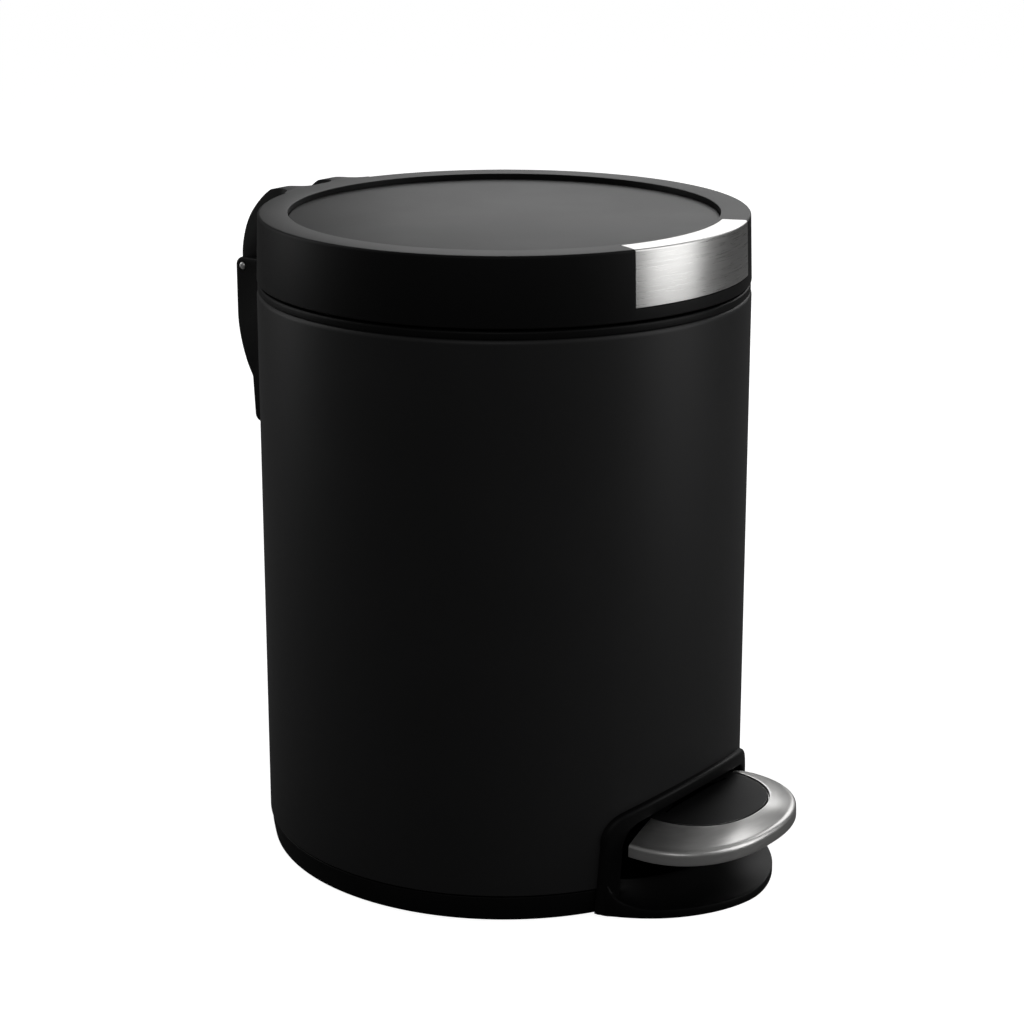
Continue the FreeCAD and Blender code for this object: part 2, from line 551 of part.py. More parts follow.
def make_pedal():
    behind = box(-80, 80, PEDAL_BACK, 0, 0, 80)
    cover = pedal_form(0, 0, 26.0)
    crease = [e for e in cover.Edges if abs(e.BoundBox.ZMax - 31.4) < 0.1 and e.BoundBox.ZLength < 0.1]
    cover = cover.makeFillet(2.4, crease)
    cover = cover.cut(pedal_form(1.0, 0.9, 25.0))
    hole = lofted([oval(PEDAL_Y, 30.4, 29.2, 2.2, 20), oval(PEDAL_Y, 30.4, 29.2, 2.2, 50)], True)
    cover = cover.cut(hole).cut(behind)
    keep("pedal_cover", cover)

    insert_low = 34.4
    pad = lofted([oval(PEDAL_Y, 30.1, 28.9, 2.2, insert_low), oval(PEDAL_Y, 30.1, 28.9, 2.2, 37.4)], True)
    pad = pad.cut(box(-80, 80, PEDAL_Y, 0, 0, 80))
    tail = box(-30.1, 30.1, PEDAL_Y, -87.0, insert_low, 37.4)
    pad = joined([pad, tail])
    pad = pad.makeFillet(0.7, [e for e in pad.Edges if abs(e.BoundBox.ZMin - 37.4) < 0.01])
    keep("pedal_insert", pad)

    tray = joined([lofted([oval(PEDAL_Y, 44.6, 35.2, 2.3, TRAY_LOW), oval(PEDAL_Y, 44.6, 35.2, 2.3, 30.2)], True),
                   lofted([oval(PEDAL_Y, 44.6, 35.2, 2.3, 30.2), oval(PEDAL_Y, 34.4, 30.4, 2.25, insert_low)],
                          True)])
    tray = tray.cut(behind)
    tray = joined([tray, box(-29, 29, PEDAL_BACK - 0.5, -87.0, TRAY_LOW, insert_low)])
    screws = []
    for y in PEDAL_SCREWS:
        tray = tray.cut(rod_z(0, y, 1.4, 20, TRAY_LOW + 4))
        screws.append(screw(0, y, TRAY_LOW - LEVER_T, vec(0, 0, 1), 1.4, 5.4, 2.8, 1.3))
    keep("pedal_tray", tray)
    keep("pedal_screws", screws)


def make_lever():
    low = LEVER_TOP - LEVER_T
    web = across((-117.0, TRAY_LOW), [(-84.0, TRAY_LOW), (-58.0, LEVER_TOP), (97.0, LEVER_TOP),
                                      (97.0, low), (-58.9, low), (-84.9, TRAY_LOW - LEVER_T),
                                      (-117.0, TRAY_LOW - LEVER_T)], -LEVER_HALF, LEVER_HALF)
    flange = across((-62.0, 17.0), [(-48.0, 10.6), (-24.0, 9.0), (-10.0, 9.0), (40.0, 12.4),
                                    (82.0, low + 0.2), (82.0, 17.0)], LEVER_HALF - LEVER_T, LEVER_HALF)
    lever = joined([web] + both_sides(flange))
    lever = lever.cut(rod_x(AXLE_Y, AXLE_Z, AXLE_R + RUN, -30, 30))
    for y in PEDAL_SCREWS:
        lever = lever.cut(rod_z(0, y, 1.6, 20, 40))
    keep("pedal_lever", lever)

    groove_in, groove_out, groove_r = 19.2, 20.2, 2.0
    axle = rod_x(AXLE_Y, AXLE_Z, AXLE_R, -22.0, 22.0)
    clips = []
    for x0 in (groove_in, -groove_out):
        x1 = x0 + groove_out - groove_in
        groove = rod_x(AXLE_Y, AXLE_Z, AXLE_R + 1, x0, x1).cut(rod_x(AXLE_Y, AXLE_Z, groove_r, x0, x1))
        axle = axle.cut(groove)
        clip = rod_x(AXLE_Y, AXLE_Z, 4.6, x0 + 0.1, x1 - 0.1)
        clip = clip.cut(rod_x(AXLE_Y, AXLE_Z, groove_r + 0.05, x0, x1))
        clip = clip.cut(box(x0, x1, AXLE_Y - 1.6, AXLE_Y + 1.6, AXLE_Z, AXLE_Z + 6))
        clips.append(clip)
    keep("lever_axle", axle)
    keep("axle_clips", clips)


def main():
    make_base()
    make_surround()
    make_body_shell()
    make_top_collar()
    make_bucket()
    make_bracket()
    make_lid()
    tip_y, tip_z = make_crank()
    make_rod(tip_y, tip_z)
    make_pedal()
    make_lever()
    os.makedirs("parts", exist_ok=True)
    for name, shape in NODES.items():
        shape.exportStep("parts/" + name + ".step")
        print(name, len(shape.Solids), round(shape.Volume))


main()
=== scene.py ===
"""Looks of a round pedal bin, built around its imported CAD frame. Metres, +Z up, front at -Y."""
import math

import bmesh
import bpy
from bpy.props import FloatProperty, FloatVectorProperty, IntProperty, PointerProperty
from mathutils import Matrix, Vector


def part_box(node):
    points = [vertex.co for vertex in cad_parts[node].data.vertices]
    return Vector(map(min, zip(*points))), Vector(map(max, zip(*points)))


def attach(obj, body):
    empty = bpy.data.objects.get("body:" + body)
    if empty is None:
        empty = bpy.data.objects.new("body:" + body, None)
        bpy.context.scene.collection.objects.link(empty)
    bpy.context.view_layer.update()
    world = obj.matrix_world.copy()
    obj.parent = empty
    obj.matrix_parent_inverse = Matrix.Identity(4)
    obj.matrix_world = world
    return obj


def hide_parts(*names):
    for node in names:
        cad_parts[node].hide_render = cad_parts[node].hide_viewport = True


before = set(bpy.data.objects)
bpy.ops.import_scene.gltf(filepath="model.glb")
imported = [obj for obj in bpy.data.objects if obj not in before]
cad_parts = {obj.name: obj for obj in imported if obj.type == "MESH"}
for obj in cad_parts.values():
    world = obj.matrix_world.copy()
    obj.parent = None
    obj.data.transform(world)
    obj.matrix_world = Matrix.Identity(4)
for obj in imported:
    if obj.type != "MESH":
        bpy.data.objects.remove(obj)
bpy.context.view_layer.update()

bl_info = {
    "name": "Pedal bin",
    "version": (1, 0, 0),
    "blender": (4, 5, 0),
    "location": "View3D > Sidebar > Pedal bin",
    "description": "Builds the finished surfaces of a round pedal bin around its frame",
    "category": "Add Mesh",
}

MM = 0.001
TURN = 2 * math.pi
FRONT = -math.pi / 2          # direction of the pedal about the body's axis
STUDIO = {}                   # finished materials by name


# ------------------------------------------------------------------ places read from the frame
def low(node):
    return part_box(node)[0]


def high(node):
    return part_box(node)[1]


BODY_R = high("body_shell").x
BODY_TOP = high("body_shell").z
SEAM_TOP = low("body_shell").z
COLLAR_TOP = high("top_collar").z
COLLAR_R = high("top_collar").x
LINER_Z = low("lid_liner").z
LID_EDGE = LINER_Z + 0.3 * MM
LID_TOP = high("lid_shell").z
LID_R = high("lid_shell").x
PANEL_TOP = high("lid_panel").z
PANEL_LOW = low("lid_panel").z
PANEL_R = high("lid_panel").x
TAB_LOW = low("lid_tab").z
PIN_Y = (low("hinge_pin").y + high("hinge_pin").y) / 2
PIN_Z = (low("hinge_pin").z + high("hinge_pin").z) / 2
PIN_R = (high("hinge_pin").z - low("hinge_pin").z) / 2
EAR_OUT = high("hinge_bracket").x
BRACKET_BACK = high("hinge_bracket").y
BRACKET_TOP = high("hinge_bracket").z
BRACKET_LOW = low("hinge_bracket").z
FOOT_FRONT = low("pedal_surround").y
PEDAL_FRONT = low("pedal_cover").y
PEDAL_BACK = high("pedal_cover").y
PEDAL_HALF = high("pedal_cover").x
PEDAL_LIP = low("pedal_cover").z
INSERT_TOP = high("pedal_insert").z
INSERT_BACK = high("pedal_insert").y
INSERT_LOW = low("pedal_insert").z


# ------------------------------------------------------------------ mesh helpers
def link(name, bm, materials, smooth_angle=32.0):
    """Turns a bmesh into an object with smooth faces and sharp edges past an angle in degrees."""
    mesh = bpy.data.meshes.new(name)
    bm.to_mesh(mesh)
    bm.free()
    for polygon in mesh.polygons:
        polygon.use_smooth = True
    mesh.set_sharp_from_angle(angle=math.radians(smooth_angle))
    piece = bpy.data.objects.new(name, mesh)
    bpy.context.scene.collection.objects.link(piece)
    for name_of in materials:
        mesh.materials.append(STUDIO[name_of])
    return piece


def settle(piece, body, slot, *nodes):
    """Makes a finished piece ride its body and stand for its CAD nodes; its slot is not used."""
    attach(piece, body)
    if nodes:
        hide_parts(*nodes)
    return piece


def wire(bm, corners, segments=5):
    """Closed wire in the XZ plane. A corner is (a, b, setback); a setback rounds it."""
    verts = [bm.verts.new((a, 0, b)) for a, b, _ in corners]
    for first, second in zip(verts, verts[1:] + verts[:1]):
        bm.edges.new((first, second))
    for vert, (_, _, setback) in zip(verts, corners):
        if setback > 0:
            bmesh.ops.bevel(bm, geom=[vert], offset=setback, offset_type="OFFSET", affect="VERTICES",
                            segments=segments, profile=0.5, material=-1)


def close_ends(bm):
    """Fills every open edge loop with a face and turns all faces outwards."""
    rim = [e for e in bm.edges if e.is_boundary]
    if rim:
        bmesh.ops.edgeloop_fill(bm, edges=rim)
    bmesh.ops.recalc_face_normals(bm, faces=bm.faces)


def turned(corners, steps=288, segments=5, half_sweep=None):
    """Ring turned about Z from (r, z, setback) corners; half_sweep leaves a part ring at the front."""
    bm = bmesh.new()
    wire(bm, corners, segments)
    angle = TURN if half_sweep is None else 2 * half_sweep
    start = Matrix.Rotation(FRONT - angle / 2, 3, "Z")
    bmesh.ops.rotate(bm, verts=bm.verts, cent=(0, 0, 0), matrix=start)
    bmesh.ops.spin(bm, geom=bm.verts[:] + bm.edges[:], cent=(0, 0, 0), axis=(0, 0, 1), angle=angle,
                   steps=steps, use_merge=half_sweep is None, use_normal_flip=False, use_duplicate=False)
    bmesh.ops.remove_doubles(bm, verts=bm.verts, dist=1e-6)
    if half_sweep is None:
        bmesh.ops.recalc_face_normals(bm, faces=bm.faces)
    else:
        close_ends(bm)
    return bm


def draw_out(bm, push):
    """Closes a flat wire and draws it out by a vector into a solid."""
    bmesh.ops.edgeloop_fill(bm, edges=bm.edges[:])
    made = bmesh.ops.extrude_face_region(bm, geom=bm.faces[:], use_keep_orig=True)
    moved = [g for g in made["geom"] if isinstance(g, bmesh.types.BMVert)]
    bmesh.ops.translate(bm, verts=moved, vec=push)
    bmesh.ops.recalc_face_normals(bm, faces=bm.faces)


def slab(corners, x0, x1, rim=0.0, segments=5, rim_segments=3):
    """Plate of a (y, z, setback) outline from x0 to x1, with both rims rounded."""
    bm = bmesh.new()
    wire(bm, corners, segments)
    for vert in bm.verts:
        vert.co = Vector((x0, vert.co.x, vert.co.z))
    draw_out(bm, (x1 - x0, 0, 0))
    if rim > 0:
        rims = [e for e in bm.edges if abs(e.verts[0].co.x - e.verts[1].co.x) < 1e-7]
        bmesh.ops.bevel(bm, geom=rims, offset=rim, offset_type="OFFSET", affect="EDGES",
                        segments=rim_segments, profile=0.5, material=-1, clamp_overlap=True)
    return bm


def slab_y(corners, y0, y1):
    """Plate of an (x, z, setback) outline from y0 to y1."""
    bm = bmesh.new()
    wire(bm, corners, 8)
    bmesh.ops.translate(bm, verts=bm.verts, vec=(0, y0, 0))
    draw_out(bm, (0, y1 - y0, 0))
    return bm


def stacked(rings, fill_first=True, fill_last=True):
    """Skin through rings of equal counts: the first ring's edges are extruded from ring to ring."""
    bm = bmesh.new()
    order = bm.verts.layers.int.new("order")
    verts = [bm.verts.new(point) for point in rings[0]]
    for number, vert in enumerate(verts):
        vert[order] = number
    edges = [bm.edges.new(pair) for pair in zip(verts, verts[1:] + verts[:1])]
    if fill_first:
        bm.faces.new(verts)
    for ring in rings[1:]:
        made = bmesh.ops.extrude_edge_only(bm, edges=edges)
        edges = [g for g in made["geom"] if isinstance(g, bmesh.types.BMEdge)]
        for item in made["geom"]:
            if isinstance(item, bmesh.types.BMVert):
                item.co = ring[item[order]]
    if fill_last:
        bmesh.ops.edgeloop_fill(bm, edges=edges)
    bmesh.ops.recalc_face_normals(bm, faces=bm.faces)
    return bm


def carve(piece, bm, operation="DIFFERENCE", crossing=False):
    """Cuts a solid from a piece, or joins or keeps what they share; crossing allows touching skins."""
    tool = link("tool", bm, [])
    step = piece.modifiers.new("carve", "BOOLEAN")
    step.operation = operation
    step.solver = "EXACT"
    step.use_self = crossing
    step.object = tool
    view = bpy.context.evaluated_depsgraph_get()
    mesh = bpy.data.meshes.new_from_object(piece.evaluated_get(view))
    piece.modifiers.clear()
    old = piece.data
    piece.data = mesh
    name = old.name
    bpy.data.meshes.remove(old)
    mesh.name = name
    old = tool.data
    bpy.data.objects.remove(tool)
    bpy.data.meshes.remove(old)
    tidy(piece)
    return piece


def tidy(piece, smooth_angle=32.0):
    """Merges stray points after a cut and marks sharp edges again."""
    bm = bmesh.new()
    bm.from_mesh(piece.data)
    bmesh.ops.remove_doubles(bm, verts=bm.verts, dist=2e-6)
    bmesh.ops.dissolve_degenerate(bm, edges=bm.edges, dist=1e-6)
    for edge in bm.edges:
        edge.smooth = True
    for face in bm.faces:
        face.smooth = True
    bm.to_mesh(piece.data)
    bm.free()
    piece.data.set_sharp_from_angle(angle=math.radians(smooth_angle))


def taken(piece):
    """The mesh of a helper piece, which is removed."""
    bm = bmesh.new()
    bm.from_mesh(piece.data)
    bpy.data.objects.remove(piece)
    return bm


def cylinder(radius, depth, centre, axis="Z", steps=64):
    """Solid cylinder about an axis through centre."""
    bm = bmesh.new()
    bmesh.ops.create_cone(bm, cap_ends=True, cap_tris=False, segments=steps, radius1=radius,
                          radius2=radius, depth=depth)
    turn = {"X": Matrix.Rotation(math.pi / 2, 3, "Y"), "Y": Matrix.Rotation(math.pi / 2, 3, "X"),
            "Z": Matrix.Identity(3)}[axis]
    bmesh.ops.rotate(bm, verts=bm.verts, cent=(0, 0, 0), matrix=turn)
    bmesh.ops.translate(bm, verts=bm.verts, vec=centre)
    return bm


def body_core():
    """Solid of the body with a hair of play, for hollowing what is fixed to it."""
    return cylinder(BODY_R + 0.05 * MM, 200 * MM, (0, 0, 200 * MM), "Z", 320)


def block(lowest, highest):
    """Solid box between two corners."""
    bm = bmesh.new()
    bmesh.ops.create_cube(bm, size=1.0)
    size = [b - a for a, b in zip(lowest, highest)]
    middle = [(a + b) / 2 for a, b in zip(lowest, highest)]
    bmesh.ops.scale(bm, verts=bm.verts, vec=size)
    bmesh.ops.translate(bm, verts=bm.verts, vec=middle)
    return bm


def soften(piece, width, segments=3, angle=40.0):
    """Rounds the piece's hard edges with a live bevel."""
    step = piece.modifiers.new("soft_edges", "BEVEL")
    step.width = width
    step.segments = segments
    step.limit_method = "ANGLE"
    step.angle_limit = math.radians(angle)
    step.miter_outer = "MITER_ARC"
    step.harden_normals = False


def lerp(a, b, share):
    return a + (b - a) * share


def oval(middle_y, half_x, half_y, power, z, count=160):
    """Ring of points on a superellipse."""
    ring = []
    for i in range(count):
        c, s = math.cos(TURN * i / count), math.sin(TURN * i / count)
        ring.append(Vector((half_x * math.copysign(abs(c) ** (2 / power), c),
                            middle_y + half_y * math.copysign(abs(s) ** (2 / power), s), z)))
    return ring


def arc(start, via, end, count):
    """Points after start on the circle through three 2-D points, up to end."""
    (ax, ay), (bx, by), (cx, cy) = start, via, end
    d = 2 * (ax * (by - cy) + bx * (cy - ay) + cx * (ay - by))
    a2, b2, c2 = ax * ax + ay * ay, bx * bx + by * by, cx * cx + cy * cy
    ux = (a2 * (by - cy) + b2 * (cy - ay) + c2 * (ay - by)) / d
    uy = (a2 * (cx - bx) + b2 * (ax - cx) + c2 * (bx - ax)) / d
    radius = math.hypot(ax - ux, ay - uy)
    first, last = math.atan2(ay - uy, ax - ux), math.atan2(cy - uy, cx - ux)
    sweep = (last - first + math.pi) % TURN - math.pi
    turns = [first + sweep * i / count for i in range(1, count + 1)]
    return [(ux + radius * math.cos(turn), uy + radius * math.sin(turn)) for turn in turns]


def doorway_line(foot, side, side_z, bend, haunch, crown):
    """Points along an arched doorway in (x, z), from its right foot over the top to its left foot."""
    half = [(lerp(foot, side, i / 8), lerp(0, side_z, i / 8)) for i in range(9)]
    half += arc(half[-1], bend, haunch, 14)
    over = arc(haunch, (0, crown), (-haunch[0], haunch[1]), 48)
    left = [(-x, z) for x, z in reversed(half[:-1])]
    return [(x * MM, z * MM) for x, z in half + over + left]


def opening_line(grow=0.0):
    """Edge of the body's doorway for the pedal, grown by some millimetres."""
    return doorway_line(46.2 + grow, 44.4 + grow, 26.0, (42.7 + grow * 0.9, 32.9 + grow * 0.5),
                        (37.5 + grow * 0.6, 37.6 + grow * 0.85), 43.0 + grow)


def frame_line():
    """Outer edge of the frame round the doorway."""
    return doorway_line(53.5, 51.4, 30.0, (49.3, 37.7), (43.2, 42.3), 48.5)


def doorway_cutter(grow, sill=-5 * MM):
    """Prism of the doorway, grown by some millimetres, through the front wall."""
    line = opening_line(grow)
    line[0] = (line[0][0], sill)
    line[-1] = (line[-1][0], sill)
    near, far = -60 * MM, -130 * MM
    return stacked([[Vector((x, near, z)) for x, z in line], [Vector((x, far, z)) for x, z in line]])


# ------------------------------------------------------------------ shader helpers
def group(name, outputs, inputs):
    """Empty shader node group with float inputs and the given outputs."""
    made = bpy.data.node_groups.new(name, "ShaderNodeTree")
    for label, value in inputs.items():
        socket = made.interface.new_socket(name=label, in_out="INPUT", socket_type="NodeSocketFloat")
        socket.default_value = value
    for label, kind in outputs.items():
        made.interface.new_socket(name=label, in_out="OUTPUT", socket_type=kind)
    return made


class Nodes:
    """Short names for building one node tree."""

    def __init__(self, tree):
        self.tree = tree

    def add(self, kind, **settings):
        node = self.tree.nodes.new("ShaderNode" + kind)
        for key, value in settings.items():
            setattr(node, key, value)
        return node

    def join(self, source, target):
        self.tree.links.new(source, target)

    def noise(self, vector, scale, detail=4.0, rough=0.55):
        node = self.add("TexNoise")
        node.inputs["Scale"].default_value = scale
        node.inputs["Detail"].default_value = detail
        node.inputs["Roughness"].default_value = rough
        self.join(vector, node.inputs["Vector"])
        return node.outputs["Fac"]

    def place(self, scale=(1, 1, 1), turn=(0, 0, 0)):
        """Object coordinates, scaled and turned."""
        where = self.add("TexCoord")
        mapping = self.add("Mapping")
        mapping.inputs["Scale"].default_value = scale
        mapping.inputs["Rotation"].default_value = turn
        self.join(where.outputs["Object"], mapping.inputs["Vector"])
        return mapping.outputs["Vector"]

    def math(self, operation, a, b):
        node = self.add("Math", operation=operation)
        for socket, value in zip(node.inputs, (a, b)):
            if isinstance(value, (int, float)):
                socket.default_value = value
            else:
                self.join(value, socket)
        return node.outputs[0]

    def spread(self, value, lowest, highest, from_low=0.3, from_high=0.7):
        node = self.add("MapRange")
        for label, number in (("From Min", from_low), ("From Max", from_high),
                              ("To Min", lowest), ("To Max", highest)):
            node.inputs[label].default_value = number
        self.join(value, node.inputs["Value"])
        return node.outputs["Result"]


def grain_group():
    """Fine moulded or sprayed grain: a height, and a slow mask of handling marks."""
    made = group("surface_grain", {"Height": "NodeSocketFloat", "Marks": "NodeSocketFloat"},
                 {"Scale": 1500.0, "Marks Scale": 22.0})
    n = Nodes(made)
    inside, outside = made.nodes.new("NodeGroupInput"), made.nodes.new("NodeGroupOutput")
    where = n.place()
    fine = n.add("TexNoise")
    fine.inputs["Detail"].default_value = 3.0
    n.join(where, fine.inputs["Vector"])
    n.join(inside.outputs["Scale"], fine.inputs["Scale"])
    cells = n.add("TexVoronoi", feature="SMOOTH_F1")
    n.join(where, cells.inputs["Vector"])
    n.join(n.math("MULTIPLY", inside.outputs["Scale"], 0.8), cells.inputs["Scale"])
    ridges = n.math("MULTIPLY", cells.outputs["Distance"], 0.5)
    height = n.math("ADD", n.math("MULTIPLY", fine.outputs["Fac"], 0.7), ridges)
    n.join(height, outside.inputs["Height"])
    marks = n.add("TexNoise")
    marks.inputs["Detail"].default_value = 5.0
    marks.inputs["Distortion"].default_value = 0.6
    n.join(where, marks.inputs["Vector"])
    n.join(inside.outputs["Marks Scale"], marks.inputs["Scale"])
    n.join(n.spread(marks.outputs["Fac"], 0.0, 1.0, 0.35, 0.68), outside.inputs["Marks"])
    return made


def brush_group():
    """Brushed streaks that run along one axis of the mapping."""
    made = group("brushed_streaks", {"Height": "NodeSocketFloat", "Tone": "NodeSocketFloat"}, {})
    n = Nodes(made)
    outside = made.nodes.new("NodeGroupOutput")
    given = made.interface.new_socket(name="Vector", in_out="INPUT", socket_type="NodeSocketVector")
    given.default_value = (0, 0, 0)
    inside = made.nodes.new("NodeGroupInput")
    hair = n.noise(inside.outputs["Vector"], 1.0, 6.0, 0.7)
    wide = n.add("Mapping")
    wide.inputs["Scale"].default_value = (0.22, 0.22, 0.22)
    n.join(inside.outputs["Vector"], wide.inputs["Vector"])
    band = n.noise(wide.outputs["Vector"], 1.0, 3.0, 0.5)
    n.join(hair, outside.inputs["Height"])
    shades = n.math("ADD", n.math("MULTIPLY", hair, 0.6), n.math("MULTIPLY", band, 0.4))
    n.join(shades, outside.inputs["Tone"])
    return made


def shader(name):
    material = bpy.data.materials.new(name)
    material.use_nodes = True
    STUDIO[name] = material
    return material, Nodes(material.node_tree), material.node_tree.nodes["Principled BSDF"]


def two_tone(n, mask, first, second):
    mix = n.add("Mix", data_type="RGBA")
    mix.inputs[6].default_value = (*first, 1)
    mix.inputs[7].default_value = (*second, 1)
    n.join(mask, mix.inputs[0])
    return mix.outputs[2]


def grained(name, colour, rough, scale, bump, specular=0.5, marks=0.05, lift=1.35):
    """Painted or moulded finish: fine grain in the normal, marks in the roughness and the tone."""
    material, n, skin = shader(name)
    grain = n.add("Group")
    grain.node_tree = bpy.data.node_groups["surface_grain"]
    grain.inputs["Scale"].default_value = scale
    skin.inputs["Specular IOR Level"].default_value = specular
    tone = two_tone(n, grain.outputs["Marks"], colour, [min(1, c * lift) for c in colour])
    n.join(tone, skin.inputs["Base Color"])
    n.join(n.spread(grain.outputs["Marks"], rough - marks, rough + marks, 0, 1), skin.inputs["Roughness"])
    relief = n.add("Bump")
    relief.inputs["Strength"].default_value = bump
    relief.inputs["Distance"].default_value = 0.0001
    n.join(grain.outputs["Height"], relief.inputs["Height"])
    n.join(relief.outputs["Normal"], skin.inputs["Normal"])
    return material


def round_axis(n, centre, stretch, along, across):
    """Coordinates whose streaks run round an upright axis: fine across, long along."""
    where = n.add("TexCoord")
    moved = n.add("Mapping")
    moved.inputs["Location"].default_value = [-c * s for c, s in zip(centre, (1, stretch, 1))]
    moved.inputs["Scale"].default_value = (1, stretch, 1)
    n.join(where.outputs["Object"], moved.inputs["Vector"])
    split = n.add("SeparateXYZ")
    n.join(moved.outputs["Vector"], split.inputs[0])
    x, y, z = split.outputs
    radius = n.math("SQRT", n.math("ADD", n.math("MULTIPLY", x, x), n.math("MULTIPLY", y, y)), 0)
    packed = n.add("CombineXYZ")
    n.join(n.math("MULTIPLY", n.math("ARCTAN2", y, x), along), packed.inputs[0])
    n.join(n.math("MULTIPLY", radius, across), packed.inputs[1])
    n.join(n.math("MULTIPLY", z, across), packed.inputs[2])
    return packed.outputs[0]


def brushed(name, colour, rough, scale, bump=0.25, contrast=0.16, centre=None, stretch=1.0):
    """Bare steel with streaks; scale is their fineness along each axis, or (along, across) a centre."""
    material, n, skin = shader(name)
    streaks = n.add("Group")
    streaks.node_tree = bpy.data.node_groups["brushed_streaks"]
    place = n.place(scale) if centre is None else round_axis(n, centre, stretch, *scale)
    n.join(place, streaks.inputs["Vector"])
    skin.inputs["Metallic"].default_value = 1.0
    dark = [c * (1 - contrast) for c in colour]
    pale = [min(1.0, c * (1 + contrast)) for c in colour]
    mask = n.spread(streaks.outputs["Tone"], 0.0, 1.0, 0.35, 0.65)
    n.join(two_tone(n, mask, dark, pale), skin.inputs["Base Color"])
    n.join(n.spread(streaks.outputs["Height"], rough * 0.8, rough * 1.25), skin.inputs["Roughness"])
    relief = n.add("Bump")
    relief.inputs["Strength"].default_value = bump
    relief.inputs["Distance"].default_value = 0.00005
    n.join(streaks.outputs["Height"], relief.inputs["Height"])
    n.join(relief.outputs["Normal"], skin.inputs["Normal"])
    return material


# ------------------------------------------------------------------ settings a user would change
class BinSizes(bpy.types.PropertyGroup):
    edge: FloatProperty(name="Edge rounding", description="Rounding of moulded edges", default=0.8 * MM,
                        min=0.0, unit="LENGTH")
    sheet_edge: FloatProperty(name="Sheet edge", description="Rounding of cut sheet edges",
                              default=0.2 * MM, min=0.0, unit="LENGTH")
    steps: IntProperty(name="Turning steps", description="Flats round a full turn of the body",
                       default=320, min=64, max=720)
    wall: FloatProperty(name="Body sheet", description="Thickness of the steel body", default=0.8 * MM,
                        min=0.0, unit="LENGTH")


class BinColours(bpy.types.PropertyGroup):
    body: FloatVectorProperty(name="Body coat", description="Colour of the coated steel body",
                              default=(0.0165, 0.0165, 0.0169), subtype="COLOR", size=3, min=0, max=1)
    lid: FloatVectorProperty(name="Lid", description="Colour of the moulded lid",
                             default=(0.0030, 0.0030, 0.0031), subtype="COLOR", size=3, min=0, max=1)
    plastic: FloatVectorProperty(name="Black plastic", description="Colour of the moulded fittings",
                                 default=(0.0026, 0.0026, 0.0027), subtype="COLOR", size=3, min=0, max=1)
    bucket: FloatVectorProperty(name="Bucket", description="Colour of the inner bucket",
                                default=(0.016, 0.016, 0.017), subtype="COLOR", size=3, min=0, max=1)
    steel: FloatVectorProperty(name="Steel", description="Tint of the brushed steel trim",
                               default=(0.63, 0.625, 0.615), subtype="COLOR", size=3, min=0, max=1)
    rubber: FloatVectorProperty(name="Rubber", description="Colour of the pads",
                                default=(0.0045, 0.0045, 0.0047), subtype="COLOR", size=3, min=0, max=1)
    floor: FloatVectorProperty(name="Floor", description="Colour of the studio floor",
                               default=(0.55, 0.55, 0.55), subtype="COLOR", size=3, min=0, max=1)


# ------------------------------------------------------------------ operators
class PEDALBIN_OT_finishes(bpy.types.Operator):
    """Make the materials of the bin"""
    bl_idname = "pedalbin.finishes"
    bl_label = "Finishes"

    def execute(self, context):
        tint = context.scene.bin_colours
        grain_group()
        brush_group()
        grained("body_coat", tint.body, 0.44, 2600.0, 0.08, specular=0.26, marks=0.012, lift=1.08)
        grained("lid_plastic", tint.lid, 0.48, 2400.0, 0.14, specular=0.18, marks=0.012, lift=1.1)
        grained("lid_panel_coat", tint.lid, 0.46, 2000.0, 0.16, specular=0.15, marks=0.012, lift=1.1)
        grained("moulded_black", tint.plastic, 0.45, 1900.0, 0.2, specular=0.14, marks=0.02, lift=1.15)
        grained("bucket_plastic", tint.bucket, 0.5, 1500.0, 0.3, specular=0.3, marks=0.05, lift=1.3)
        grained("pad_rubber", tint.rubber, 0.5, 1700.0, 0.25, specular=0.16, marks=0.03, lift=1.2)
        grained("white_nylon", (0.62, 0.61, 0.56), 0.42, 1200.0, 0.2, marks=0.05, lift=1.08)
        pedal_mid = (0.0, -100.0 * MM, 0.0)
        brushed("brushed_pedal", tint.steel, 0.35, (9.0, 2600.0), 0.08, 0.05, pedal_mid, 1.24)
        brushed("brushed_tab", tint.steel, 0.3, (7.0, 3600.0), 0.13, 0.07, (0.0, 0.0, 0.0))
        brushed("bright_steel", (0.78, 0.78, 0.77), 0.3, (500.0, 3500.0, 3500.0), 0.12, 0.08)
        brushed("plated_wire", (0.6, 0.6, 0.6), 0.22, (900.0, 900.0, 300.0), 0.1, 0.1)
        brushed("zinc_plate", (0.5, 0.51, 0.52), 0.36, (700.0, 260.0, 700.0), 0.2, 0.14)
        return {"FINISHED"}


